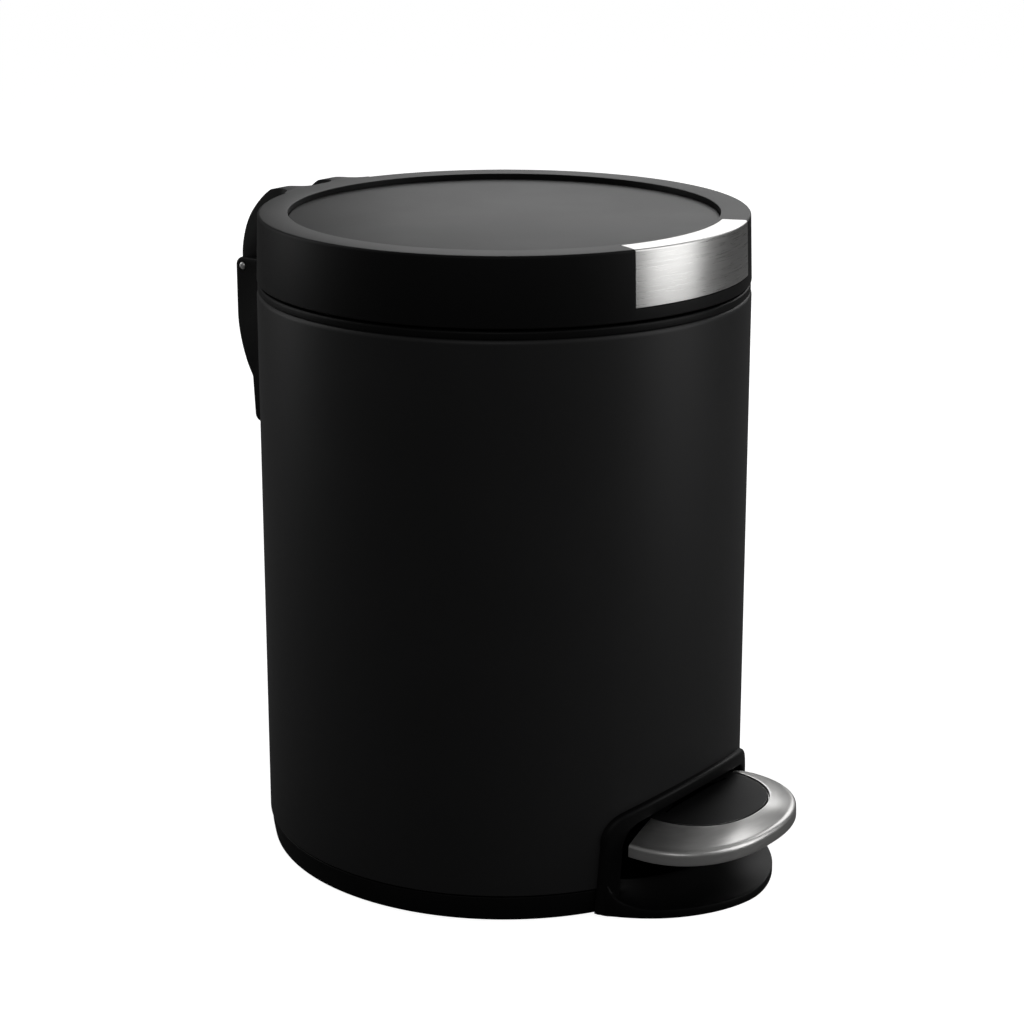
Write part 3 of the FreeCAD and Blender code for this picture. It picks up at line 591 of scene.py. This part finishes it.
class PEDALBIN_OT_stage(bpy.types.Operator):
    """Set up the floor, the soft lights and the camera"""
    bl_idname = "pedalbin.stage"
    bl_label = "Stage"

    def execute(self, context):
        scene = context.scene
        scene.view_settings.view_transform = "Standard"
        self.floor(scene)
        world = bpy.data.worlds.new("studio")
        scene.world = world
        world.use_nodes = True
        sky = world.node_tree.nodes["Background"]
        sky.inputs["Color"].default_value = (1.0, 1.0, 1.0, 1)
        n = Nodes(world.node_tree)
        ray = n.add("LightPath")
        n.join(n.spread(ray.outputs["Is Camera Ray"], 0.14, 1.0, 0, 1), sky.inputs["Strength"])

        # Each softbox stands upright round the bin: heading in degrees, then metres, then its radiance.
        for name, heading, distance, foot, width, tall, radiance in (
                ("right_softbox", -63.0, 1.0, 0.04, 0.6, 1.1, 1.9),
                ("back_softbox", 17.0, 1.5, 0.5, 1.7, 0.9, 1.9),
                ("left_softbox", 110.0, 1.2, 0.02, 0.6, 1.3, 1.2),
                ("front_softbox", -150.0, 2.2, 1.3, 1.2, 0.8, 1.3)):
            lamp = bpy.data.lights.new(name, "AREA")
            lamp.shape = "RECTANGLE"
            lamp.size, lamp.size_y = width, tall
            lamp.energy = radiance * math.pi * width * tall
            holder = bpy.data.objects.new(name, lamp)
            scene.collection.objects.link(holder)
            turn = math.radians(heading)
            at = Vector((distance * math.cos(turn), distance * math.sin(turn), foot + tall / 2))
            holder.location = at
            aim = Vector((0, 0, min(at.z, 0.25)))
            holder.rotation_euler = (aim - at).to_track_quat("-Z", "Y").to_euler()
            holder.visible_camera = False

        azimuth, pitch = math.radians(-52.2), math.radians(15.21)
        distance, height, aside = 1.00618, 0.45051, 0.0032
        ahead = Vector((-math.sin(azimuth), math.cos(azimuth), 0))
        right = Vector((math.cos(azimuth), math.sin(azimuth), 0))
        eye = bpy.data.cameras.new("camera")
        eye.lens = 86.75
        eye.sensor_width = 36.0
        eye.shift_y = -0.08
        eye.clip_start = 0.05
        camera = bpy.data.objects.new("camera", eye)
        scene.collection.objects.link(camera)
        camera.location = -ahead * distance + right * aside + Vector((0, 0, height))
        camera.rotation_euler = (math.pi / 2 - pitch, 0, azimuth)
        scene.camera = camera
        return {"FINISHED"}

    def floor(self, scene):
        """Wide pale floor. It looks fully lit, and gives the bin only a dim reflection."""
        material, n, skin = shader("studio_floor")
        tree = material.node_tree
        mottle = n.noise(n.place(), 3.0, 2.0)
        base = scene.bin_colours.floor
        n.join(two_tone(n, mottle, [c * 0.985 for c in base], base), skin.inputs["Base Color"])
        skin.inputs["Roughness"].default_value = 0.9
        skin.inputs["Specular IOR Level"].default_value = 0.0
        skin.inputs["Emission Color"].default_value = (1, 1, 1, 1)
        skin.inputs["Emission Strength"].default_value = 0.92
        dim = n.add("BsdfDiffuse")
        n.join(two_tone(n, mottle, (0.16, 0.16, 0.16), (0.18, 0.18, 0.18)), dim.inputs["Color"])
        ray = n.add("LightPath")
        mix = n.add("MixShader")
        n.join(ray.outputs["Is Camera Ray"], mix.inputs[0])
        n.join(dim.outputs[0], mix.inputs[1])
        n.join(skin.outputs[0], mix.inputs[2])
        n.join(mix.outputs[0], tree.nodes["Material Output"].inputs["Surface"])
        bm = bmesh.new()
        bmesh.ops.create_circle(bm, cap_ends=True, segments=96, radius=9.0)
        bmesh.ops.translate(bm, verts=bm.verts, vec=(0, 0, -0.3 * MM))
        link("studio_floor", bm, ["studio_floor"])


class PEDALBIN_OT_body(bpy.types.Operator):
    """Make the steel body and its collar"""
    bl_idname = "pedalbin.body"
    bl_label = "Body"

    def execute(self, context):
        sizes = context.scene.bin_sizes
        wall, roll = sizes.wall, 2.4 * MM
        lip = BODY_R - roll
        shell = link("body_tube", turned([
            (BODY_R, SEAM_TOP, wall * 0.3), (BODY_R, BODY_TOP, roll), (lip - 0.4 * MM, BODY_TOP, 0.1 * MM),
            (lip - 0.4 * MM, BODY_TOP - wall, 0.1 * MM), (BODY_R - wall, BODY_TOP - wall, roll - wall),
            (BODY_R - wall, SEAM_TOP, wall * 0.3)], sizes.steps, 7), ["body_coat"])
        carve(shell, doorway_cutter(2.3))
        half, slot_low, slot_high = 3.6 * MM, 178.0 * MM, 202.0 * MM
        slot = slab_y([(-half, slot_low - half, half), (half, slot_low - half, half),
                       (half, slot_high + half, half), (-half, slot_high + half, half)], 90 * MM, 112 * MM)
        carve(shell, slot)
        settle(shell, "bin", "black_paint", "body_shell")

        neck, ledge = 99.85 * MM, 92.5 * MM
        inner, skirt_low, skirt_in = 97.3 * MM, low("top_collar").z, 98.2 * MM
        shelf, web = 240.0 * MM, 1.7 * MM
        collar = link("collar_ring", turned([
            (inner, shelf, 0.2 * MM), (inner, COLLAR_TOP, 0.5 * MM), (COLLAR_R, COLLAR_TOP, 1.1 * MM),
            (COLLAR_R, BODY_TOP - 0.25 * MM, 0.3 * MM), (neck, BODY_TOP + 0.02 * MM, 0),
            (neck, skirt_low, 0.3 * MM), (skirt_in, skirt_low, 0.3 * MM), (skirt_in, shelf - web, 0.2 * MM),
            (ledge, shelf - web, 0.3 * MM), (ledge, shelf, 0.3 * MM)], sizes.steps, 5), ["moulded_black"])
        settle(collar, "bin", "black_plastic", "top_collar")
        return {"FINISHED"}


class PEDALBIN_OT_base(bpy.types.Operator):
    """Make the base ring with its floor and the pedal surround"""
    bl_idname = "pedalbin.base"
    bl_label = "Base and surround"

    def execute(self, context):
        self.ring(context)
        self.surround(context)
        return {"FINISHED"}

    def ring(self, context):
        sizes = context.scene.bin_sizes
        top, floor_t, spigot_top = 10.6 * MM, 2.5 * MM, 18 * MM
        foot_r, step_r, spigot = 100.5 * MM, 100.6 * MM, 101.6 * MM
        axle = (low("lever_axle") + high("lever_axle")) / 2
        base = link("base_moulding", turned([
            (0, 0, 0), (foot_r, 0, 0.8 * MM), (101.5 * MM, 5.4 * MM, 2.0 * MM), (101.95 * MM, top, 0.35 * MM),
            (step_r, top, 0.1 * MM), (step_r, SEAM_TOP, 0), (spigot, SEAM_TOP, 0),
            (spigot, spigot_top, 0.4 * MM), (99.2 * MM, spigot_top, 0.4 * MM), (98.4 * MM, floor_t, 1.8 * MM),
            (0, floor_t, 0)], sizes.steps, 6), ["moulded_black"])
        gap_in, past, under, above = 84 * MM, 130 * MM, -1 * MM, 60 * MM
        carve(base, turned([(gap_in, under, 0), (past, under, 0), (past, above, 0), (gap_in, above, 0)],
                           48, 2, math.radians(30.3)))
        for side in (-1, 1):
            y, z = axle.y, axle.z
            boss = slab([(y - 6.5 * MM, floor_t - 1 * MM, 0), (y - 5.2 * MM, z + 5.2 * MM, 5 * MM),
                         (y + 5.2 * MM, z + 5.2 * MM, 5 * MM), (y + 6.5 * MM, floor_t - 1 * MM, 0)],
                        side * 13 * MM, side * 19 * MM, 0.4 * MM)
            carve(base, boss, "UNION")
            lowest, highest = sorted((side * 18.5 * MM, side * 60 * MM))
            carve(base, block((lowest, y - 1 * MM, floor_t - 1 * MM), (highest, y + 1 * MM, 8 * MM)), "UNION")
        carve(base, cylinder(2.52 * MM, 60 * MM, axle, "X"))
        groove_w, groove_d = 3 * MM, 0.8 * MM
        for start in (24 * MM, 40 * MM, 56 * MM):
            end = start + groove_w
            carve(base, turned([(start, -1 * MM, 0), (end, -1 * MM, 0), (end, groove_d, 0.3 * MM),
                                (start, groove_d, 0.3 * MM)], 160, 3))
        pad_at, pad_r, pad_t, pocket_r = 76 * MM, 8.0 * MM, 1.6 * MM, 8.1 * MM
        quarters = [math.radians(45 + 90 * quarter) for quarter in range(4)]
        spots = [Vector((pad_at * math.cos(turn), pad_at * math.sin(turn), 0)) for turn in quarters]
        for spot in spots:
            carve(base, cylinder(pocket_r, 2.0 * MM, spot + Vector((0, 0, 0.6 * MM))))
        settle(base, "bin", "black_plastic", "base")

        pads = bmesh.new()
        for spot in spots:
            one = turned([(0, 0, 0), (pad_r, 0, 0.4 * MM), (pad_r, pad_t, 0.2 * MM), (0, pad_t, 0)], 48, 3)
            bmesh.ops.translate(one, verts=one.verts, vec=spot)
            mesh = bpy.data.meshes.new("pad")
            one.to_mesh(mesh)
            one.free()
            pads.from_mesh(mesh)
            bpy.data.meshes.remove(mesh)
        settle(link("floor_pads", pads, ["pad_rubber"]), "bin", "soft_rubber", "rubber_feet")

    def surround(self, context):
        """Arched frame over the body's opening, in one piece with the foot plate."""
        outer, inner = frame_line(), opening_line()
        leg_z = 0.7 * MM      # the legs stand in the foot plate, a little above its underside
        for line in (outer, inner):
            for end in (0, -1):
                line[end] = (line[end][0], leg_z)
        width, inner_r, back_r, face_r = 7.3 * MM, 95.0 * MM, BODY_R + 0.1 * MM, 105.2 * MM
        cross = [(0, back_r, 0), (0, face_r, 1.6 * MM), (width, face_r, 1.1 * MM), (width, inner_r, 0.3 * MM),
                 (width - 2 * MM, inner_r, 0.3 * MM), (width - 2 * MM, back_r, 0)]
        flat = bmesh.new()
        wire(flat, cross, 5)
        start = flat.verts[:][0]
        loop, vert, edge = [], start, start.link_edges[0]     # the section, point by point
        while True:
            loop.append((vert.co.x / width, vert.co.z))
            vert = edge.other_vert(vert)
            if vert is start:
                break
            edge = next(e for e in vert.link_edges if e is not edge)
        flat.free()
        rings = []
        for (xo, zo), (xi, zi) in zip(outer, inner):
            ring = []
            for share, r in loop:
                x, z = lerp(xo, xi, share), lerp(zo, zi, share)
                ring.append(Vector((x, -math.sqrt(max(r * r - x * x, 0)), z)))
            rings.append(ring)
        piece = link("surround_moulding", stacked(rings), ["moulded_black"])

        foot_piece = link("foot", stacked(self.foot_rings(face_r)), ["moulded_black"])
        keep_in, keep_r, seam_z, above = 101.3 * MM, back_r + 0.2 * MM, 10.65 * MM, 60 * MM
        keep_out = turned([(keep_in, seam_z, 0), (keep_r, seam_z, 0), (keep_r, above, 0),
                           (keep_in, above, 0)], 96, 2, math.radians(60))
        keeper = link("keep_out", keep_out, [])
        carve(keeper, doorway_cutter(2.0))
        carve(foot_piece, taken(keeper))
        back_in, past, under = 84.3 * MM, 140 * MM, -2 * MM
        sector = turned([(back_in, under, 0), (past, under, 0), (past, above, 0), (back_in, above, 0)],
                        96, 2, math.radians(30.0))
        carve(foot_piece, sector, "INTERSECT")
        carve(piece, taken(foot_piece), "UNION", crossing=True)
        for side in (-1, 1):
            x0, x1 = sorted((side * 30.5 * MM, side * 41.5 * MM))
            carve(piece, block((x0, -80 * MM, 2.6 * MM), (x1, -63.5 * MM, 5.2 * MM)), "UNION")
            carve(piece, cylinder(1.7 * MM, 20 * MM, (side * 36 * MM, -69 * MM, 2 * MM)))
        settle(piece, "bin", "black_plastic", "pedal_surround")

    def foot_rings(self, face_r):
        """Rings of the hollow-sided foot plate. Its rim climbs in a curve into the legs of the frame."""
        mid_y, power, count = -83.0 * MM, 1.8, 320
        reach = (mid_y - FOOT_FRONT) / MM
        half, edge_z, crest_x, crest_y, crest_z = 52.0, 3.8, 46.3, 27.9, 12.8
        rise, spread, near = 9.5 * MM, 1.2 * MM, 12.0 * MM
        # A ring is half its width, its reach to the front, its height, and its share of the climb.
        rings = [(half - 0.4, reach - 0.4, 0.0, 0.0), (half - 0.1, reach - 0.1, 0.15, 0.0),
                 (half, reach, 0.5, 0.0), (half, reach, edge_z / 2, 0.5), (half, reach, edge_z - 0.6, 0.95),
                 (half - 0.15, reach - 0.2, edge_z - 0.15, 1.0), (half - 0.5, reach - 0.6, edge_z, 1.0)]
        for i in range(1, 17):
            share = i / 16
            rings.append((lerp(half - 0.5, crest_x, share), lerp(reach - 0.6, crest_y, share),
                          edge_z + (crest_z - edge_z) * share ** 2.1, (1.0 - share) ** 2))
        over = ((0.2, 0.35, crest_z + 0.25), (0.6, 0.8, crest_z + 0.3), (1.1, 1.25, crest_z + 0.1),
                (1.4, 1.6, crest_z - 0.5), (1.7, 1.9, 3.6), (2.2, 2.4, 3.0))
        rings += [(crest_x - in_x, crest_y - in_y, z, 0) for in_x, in_y, z in over]
        made = []
        for x_half, y_half, z, climb in rings:
            ring = []
            for point in oval(mid_y, x_half * MM, y_half * MM, power, z * MM, count):
                gap = min(1.0, max(0.0, math.hypot(point.x, point.y) - face_r) / near)
                close = 1 - math.sqrt(1 - (1 - gap) ** 2)
                x = abs(point.x) + spread * close * (1.0 if z <= edge_z else climb)
                ring.append(Vector((math.copysign(x, point.x), point.y, point.z + rise * close * climb)))
            made.append(ring)
        return made


class PEDALBIN_OT_hinge(bpy.types.Operator):
    """Make the hinge bracket and its pin"""
    bl_idname = "pedalbin.hinge"
    bl_label = "Hinge bracket"

    def execute(self, context):
        rim = context.scene.bin_sizes.edge
        back, ear = BRACKET_BACK, EAR_OUT
        z0 = BRACKET_LOW
        housing = link("hinge_housing", slab([
            (95 * MM, z0, 0), (122.0 * MM, z0, 3.2 * MM), (123.2 * MM, 186.5 * MM, 0.8 * MM),
            (back, 201.0 * MM, 13.0 * MM), (back, PIN_Z + 3.9 * MM, 3.9 * MM), (95 * MM, BRACKET_TOP, 0)],
            -ear, ear, rim, 10), ["moulded_black"])
        carve(housing, body_core())
        inside = 19.9 * MM
        sill, wall_y, pass_z, above = z0 + 2.5 * MM, back - 2.2 * MM, 230.5 * MM, 250 * MM
        hollow = slab([(90 * MM, sill, 0), (120.0 * MM, sill, 2.5 * MM), (121.0 * MM, 188.0 * MM, 3 * MM),
                       (wall_y, 203 * MM, 8 * MM), (wall_y, pass_z, 0.4 * MM), (140 * MM, pass_z, 0),
                       (140 * MM, above, 0), (90 * MM, above, 0)], -inside, inside)
        carve(housing, hollow)
        top = link("bracket_top", block((-inside - 0.5 * MM, 96 * MM, 238.2 * MM),
                                        (inside + 0.5 * MM, 119 * MM, BRACKET_TOP)), [])
        carve(top, body_core())
        carve(top, block((-9 * MM, 108.5 * MM, 230 * MM), (9 * MM, 125 * MM, 250 * MM)))
        carve(housing, taken(top), "UNION")
        screws_y = high("bracket_screws").y
        near, hole_near = 100 * MM, 90 * MM
        for x in (-14 * MM, 14 * MM):
            for z, far in ((177 * MM, 120.5 * MM), (225 * MM, 129.5 * MM)):
                boss = cylinder(4 * MM, far - near, (x, (far + near) / 2, z), "Y", 40)
                carve(housing, boss, "UNION")
                middle = (x, (screws_y + hole_near) / 2, z)
                carve(housing, cylinder(1.45 * MM, screws_y - hole_near, middle, "Y", 24))
        carve(housing, body_core())
        carve(housing, cylinder(PIN_R + 0.25 * MM, 80 * MM, (0, PIN_Y, PIN_Z), "X", 48))
        settle(housing, "bin", "black_plastic", "hinge_bracket")

        half = high("hinge_pin").x
        pin = bmesh.new()
        wire(pin, [(0, -half, 0), (PIN_R, -half, 0.9 * MM), (PIN_R, half, 0.9 * MM), (0, half, 0)], 6)
        bmesh.ops.spin(pin, geom=pin.verts[:] + pin.edges[:], cent=(0, 0, 0), axis=(0, 0, 1), angle=TURN,
                       steps=48, use_merge=True)
        bmesh.ops.remove_doubles(pin, verts=pin.verts, dist=1e-6)
        bmesh.ops.rotate(pin, verts=pin.verts, cent=(0, 0, 0), matrix=Matrix.Rotation(math.pi / 2, 3, "Y"))
        bmesh.ops.translate(pin, verts=pin.verts, vec=(0, PIN_Y, PIN_Z))
        bmesh.ops.recalc_face_normals(pin, faces=pin.faces)
        settle(link("hinge_axle", pin, ["bright_steel"]), "bin", "bright_pin", "hinge_pin")
        return {"FINISHED"}


class PEDALBIN_OT_lid(bpy.types.Operator):
    """Make the lid with its arms, panel, tab and liner"""
    bl_idname = "pedalbin.lid"
    bl_label = "Lid"

    def execute(self, context):
        sizes = context.scene.bin_sizes
        lid_low = LID_EDGE
        top_r = 101.5 * MM
        recess_r = PANEL_R + 0.15 * MM
        ledge_low = PANEL_LOW - 1.8 * MM
        lid = link("lid_moulding", turned([
            (LID_R, lid_low, 0.6 * MM), (top_r, LID_TOP, 1.0 * MM), (recess_r, LID_TOP, 0.4 * MM),
            (recess_r, PANEL_LOW, 0), (84 * MM, PANEL_LOW, 0.2 * MM), (84 * MM, ledge_low, 0.2 * MM),
            (91 * MM, ledge_low, 0), (91 * MM, LID_TOP - 2.3 * MM, 0), (99.4 * MM, LID_TOP - 2.3 * MM, 0),
            (100.1 * MM, lid_low, 0.3 * MM)], sizes.steps, 6), ["lid_plastic"])
        hub, root_y, edge = 3.9 * MM, 95.0 * MM, lid_low + 0.3 * MM
        web_y, web_z = 103 * MM, 241.4 * MM
        profile = [(PIN_Y - hub, PIN_Z - hub, hub), (PIN_Y + hub, PIN_Z - hub, hub),
                   (PIN_Y + hub, 249 * MM, 9 * MM), (121.5 * MM, 265.5 * MM, 9 * MM),
                   (111.5 * MM, LID_TOP, 6.5 * MM), (root_y, LID_TOP, 0), (root_y, edge, 0), (web_y, edge, 0),
                   (web_y, web_z, 0.8 * MM), (PIN_Y - hub, web_z, 3.0 * MM)]
        arms = link("arms", slab(profile, -32 * MM, 32 * MM, 0, 10), [])
        carve(arms, self.arm_plan(top_r + 0.35 * MM), "INTERSECT")
        carve(arms, cylinder(99.7 * MM, 60 * MM, (0, 0, LID_TOP - 32.3 * MM), "Z", 240))
        bm = taken(arms)
        sharp = [e for e in bm.edges if e.is_manifold and e.calc_face_angle(0) > math.radians(40)
                 and min(v.co.y for v in e.verts) > 99.5 * MM]
        bmesh.ops.bevel(bm, geom=sharp, offset=0.8 * MM, offset_type="OFFSET", affect="EDGES", segments=4,
                        profile=0.5, material=-1, clamp_overlap=True)
        carve(lid, bm, "UNION")
        carve(lid, cylinder(PIN_R + 0.06 * MM, 80 * MM, (0, PIN_Y, PIN_Z), "X", 48))
        tab_in, half_tab, seam = 91 * MM, math.radians(22.75), 0.22 * MM
        low_z = TAB_LOW - seam
        side_r = lerp(LID_R, top_r, (low_z - lid_low) / (LID_TOP - lid_low))
        thick = 0.62 * MM
        past, above = 106 * MM, 275 * MM
        pocket = turned([(tab_in - seam, LID_TOP - thick, 0), (top_r - thick, LID_TOP - thick, 1.0 * MM),
                         (side_r - thick, low_z, 0), (past, low_z, 0), (past, above, 0),
                         (tab_in - seam, above, 0)], 48, 5, half_tab + seam / top_r)
        carve(lid, pocket)
        settle(lid, "lid", "lid_plastic", "lid_shell")

        thick = 0.6 * MM
        side_r = lerp(LID_R, top_r, (TAB_LOW - lid_low) / (LID_TOP - lid_low))
        tab = link("lid_steel_tab", turned([
            (tab_in, LID_TOP, 0), (top_r, LID_TOP, 1.0 * MM), (side_r, TAB_LOW, 0),
            (side_r - thick, TAB_LOW, 0), (top_r - thick, LID_TOP - thick, 0.8 * MM),
            (tab_in, LID_TOP - thick, 0)], 64, 6, half_tab), ["brushed_tab"])
        soften(tab, 0.16 * MM, 2)
        settle(tab, "lid", "brushed_steel", "lid_tab")

        panel = link("lid_disc", turned([(0, PANEL_TOP, 0), (PANEL_R, PANEL_TOP, 0.5 * MM),
                                         (PANEL_R, PANEL_LOW, 0.1 * MM), (0, PANEL_LOW, 0)], sizes.steps, 4),
                     ["lid_panel_coat"])
        settle(panel, "lid", "lid_panel_paint", "lid_panel")

        disc_z, inner, outer, liner_top = 252.0 * MM, 97.2 * MM, 99.2 * MM, 262 * MM
        groove_z, disc_top = disc_z + 0.8 * MM, disc_z + 2 * MM
        liner = link("liner_moulding", turned([
            (0, disc_z, 0), (60 * MM, disc_z, 0), (62 * MM, groove_z, 1 * MM), (70 * MM, groove_z, 1 * MM),
            (72 * MM, disc_z, 0), (inner, disc_z, 2.7 * MM), (inner, LINER_Z, 0.3 * MM),
            (outer, LINER_Z, 0.3 * MM), (outer, liner_top, 0.3 * MM), (inner, liner_top, 0.3 * MM),
            (inner, disc_top, 0), (0, disc_top, 0)], sizes.steps, 5), ["moulded_black"])
        settle(liner, "lid", "black_plastic", "lid_liner")
        return {"FINISHED"}

    def arm_plan(self, ring_r):
        """Upright prism of both arms, with hollow curves where they spread into the lid's rim."""
        arm_in, arm_out, far = 11 * MM, 19.5 * MM, 140 * MM
        outer_f, inner_f = 10 * MM, 6.5 * MM

        def hollow(side, fillet, towards):
            """Curve tangent to the rim and to an arm's side."""
            x = side + towards * fillet
            y = math.sqrt((ring_r + fillet) ** 2 - x * x)
            rim = (x * ring_r / (ring_r + fillet), y * ring_r / (ring_r + fillet))
            middle = (math.atan2(rim[1] - y, rim[0] - x) - (math.pi if towards > 0 else 0)) / 2
            via = (x + fillet * math.cos(middle), y + fillet * math.sin(middle))
            return [rim] + arc(rim, via, (side, y), 10)

        right = hollow(arm_out, outer_f, 1) + [(arm_out, far), (arm_in, far)]
        right += list(reversed(hollow(arm_in, inner_f, -1)))
        outline = [(30 * MM, 90 * MM)] + right
        outline += [(-x, y) for x, y in reversed(outline)]
        rings = [[Vector((x, y, z)) for x, y in outline] for z in (225 * MM, 280 * MM)]
        return stacked(rings)


class PEDALBIN_OT_pedal(bpy.types.Operator):
    """Make the steel pedal cover and its pad"""
    bl_idname = "pedalbin.pedal"
    bl_label = "Pedal"

    def execute(self, context):
        mid = -100.0 * MM
        reach = (mid - PEDAL_FRONT) / MM
        half = PEDAL_HALF / MM
        lip, crease, crown = PEDAL_LIP / MM, 31.4, INSERT_TOP / MM
        hole_x, hole_y = 30.45, 29.25
        rings = [(half - 0.5, reach - 0.5, lip), (half - 0.05, reach - 0.05, lip + 0.3),
                 (half, reach, lip + 0.9)]
        for i in range(1, 5):
            share = i / 4
            rings.append((lerp(half, half - 0.1, share), lerp(reach, reach - 0.15, share),
                          lerp(lip + 0.9, crease - 1.2, share)))
        knee_x, knee_y = half - 0.12, reach - 0.2
        for i in range(1, 9):
            turn = math.radians(9 * i + 3)
            rings.append((knee_x - 2.6 * (1 - math.cos(turn)), knee_y - 2.3 * (1 - math.cos(turn)),
                          crease - 1.2 + 1.9 * math.sin(turn)))
        last_x, last_y, last_z = rings[-1]
        for i in range(1, 13):
            share = i / 12
            rings.append((lerp(last_x, hole_x + 0.5, share), lerp(last_y, hole_y + 0.5, share),
                          lerp(last_z, crown, share) + 0.35 * math.sin(math.pi * share)))
        rings += [(hole_x + 0.15, hole_y + 0.15, crown - 0.05), (hole_x, hole_y, crown - 0.35),
                  (hole_x, hole_y, crown - 1.6)]
        power = 2.28
        bm = stacked([oval(mid, x * MM, y * MM, lerp(power, 2.2, max(0, i - 14) / 14), z * MM, 240)
                      for i, (x, y, z) in enumerate(rings)], False, False)
        geom = bm.verts[:] + bm.edges[:] + bm.faces[:]
        bmesh.ops.bisect_plane(bm, geom=geom, dist=1e-7, plane_co=(0, PEDAL_BACK, 0), plane_no=(0, 1, 0),
                               clear_outer=True)
        for face in bm.faces:
            out = face.calc_center_median() - Vector((0, mid, 15 * MM))
            if face.normal.dot(out) < 0:
                face.normal_flip()
        bmesh.ops.solidify(bm, geom=bm.faces[:], thickness=0.9 * MM)
        bmesh.ops.recalc_face_normals(bm, faces=bm.faces)
        cover = link("pedal_steel", bm, ["brushed_pedal"])
        soften(cover, context.scene.bin_sizes.sheet_edge, 2)
        settle(cover, "pedal", "brushed_steel", "pedal_cover")

        pad_x, pad_y = 30.1, 28.9
        heights = [(0.0, INSERT_LOW / MM), (0.0, crown - 0.85), (0.12, crown - 0.45), (0.4, crown - 0.2),
                   (0.8, crown - 0.1), (2.5, crown - 0.02), (8.0, crown), (16.0, crown)]
        tail = (INSERT_BACK - mid) / MM
        rings = []
        for inset, z in heights:
            front = oval(mid, (pad_x - inset) * MM, (pad_y - inset) * MM, 2.2, z * MM, 160)
            back = oval(mid, (pad_x - inset) * MM, (tail - inset) * MM, 7.0, z * MM, 160)
            rings.append([b if b.y > mid else f for f, b in zip(front, back)])
        pad = link("pedal_pad", stacked(rings), ["pad_rubber"])
        settle(pad, "pedal", "pedal_rubber", "pedal_insert")
        return {"FINISHED"}


class PEDALBIN_OT_bucket(bpy.types.Operator):
    """Make the inner bucket with the ears for its bail"""
    bl_idname = "pedalbin.bucket"
    bl_label = "Bucket"

    def execute(self, context):
        sizes = context.scene.bin_sizes
        z0, rim_z, wall = low("inner_bucket").z, 241.8 * MM, 1.8 * MM
        rim_r, low_r, high_r = high("inner_bucket").x, 77 * MM, 88.5 * MM
        shelf, raised = 240.0 * MM, z0 + 1.2 * MM
        bucket = link("bucket_moulding", turned([
            (0, raised, 0), (58 * MM, raised, 1 * MM), (60 * MM, z0, 1 * MM), (low_r, z0, 5 * MM),
            (high_r, shelf, 0.6 * MM), (rim_r, shelf, 0.8 * MM), (rim_r, rim_z, 0.8 * MM),
            (high_r - wall, rim_z, 0.9 * MM), (low_r - wall, z0 + wall, 5 * MM),
            (58 * MM, z0 + wall, 1 * MM), (56 * MM, raised + wall, 1 * MM), (0, raised + wall, 0)],
            240, 6), ["bucket_plastic"])
        hinge_z, ear_low, ear_top, ear_round = 244.0 * MM, 240.5 * MM, 248 * MM, 3.8 * MM
        for side in (-1, 1):
            x0, x1 = sorted((side * 87.2 * MM, side * 90.2 * MM))
            ear = slab([(-5 * MM, ear_low, 0), (-4.2 * MM, ear_top, ear_round),
                        (4.2 * MM, ear_top, ear_round), (5 * MM, ear_low, 0)], x0, x1, 0.4 * MM, 6)
            carve(bucket, ear, "UNION")
        carve(bucket, cylinder(1.85 * MM, 200 * MM, (0, 0, hinge_z), "X", 32))
        settle(bucket, "bin", "bucket_plastic", "inner_bucket")
        return {"FINISHED"}


class PEDALBIN_OT_workings(bpy.types.Operator):
    """Give the carried-over pieces inside their finishes"""
    bl_idname = "pedalbin.workings"
    bl_label = "Workings"

    def execute(self, context):
        finishes = {
            "plated_wire": ("bucket_handle", "push_rod"),
            "bright_steel": ("lever_axle", "crank_pin"),
            "zinc_plate": ("rod_guide", "pedal_lever", "axle_clips", "surround_screws", "bracket_screws",
                           "liner_screws", "pedal_screws"),
            "white_nylon": ("rod_foot", "rod_head"),
            "moulded_black": ("lid_crank", "pedal_tray"),
            "pad_rubber": ("lid_bumpers",),
        }
        for finish, names in finishes.items():
            for name in names:
                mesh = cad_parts[name].data
                mesh.materials.clear()
                mesh.materials.append(STUDIO[finish])
        return {"FINISHED"}


class PEDALBIN_PT_sidebar(bpy.types.Panel):
    """Sizes, colours and makers of the pedal bin"""
    bl_idname = "PEDALBIN_PT_sidebar"
    bl_label = "Pedal bin"
    bl_space_type = "VIEW_3D"
    bl_region_type = "UI"
    bl_category = "Pedal bin"

    def draw(self, context):
        column = self.layout.column()
        for settings in (context.scene.bin_sizes, context.scene.bin_colours):
            for name in settings.__annotations__:
                column.prop(settings, name)
        for maker in MAKERS:
            column.operator(maker.bl_idname)


MAKERS = (PEDALBIN_OT_finishes, PEDALBIN_OT_stage, PEDALBIN_OT_body, PEDALBIN_OT_base, PEDALBIN_OT_hinge,
          PEDALBIN_OT_lid, PEDALBIN_OT_pedal, PEDALBIN_OT_bucket, PEDALBIN_OT_workings)
CLASSES = (BinSizes, BinColours) + MAKERS + (PEDALBIN_PT_sidebar,)


def register():
    for item in CLASSES:
        bpy.utils.register_class(item)
    bpy.types.Scene.bin_sizes = PointerProperty(type=BinSizes)
    bpy.types.Scene.bin_colours = PointerProperty(type=BinColours)


def unregister():
    del bpy.types.Scene.bin_colours
    del bpy.types.Scene.bin_sizes
    for item in reversed(CLASSES):
        bpy.utils.unregister_class(item)


def main():
    register()
    for maker in MAKERS:
        family, name = maker.bl_idname.split(".")
        getattr(getattr(bpy.ops, family), name)()


if __name__ == "__main__":
    main()
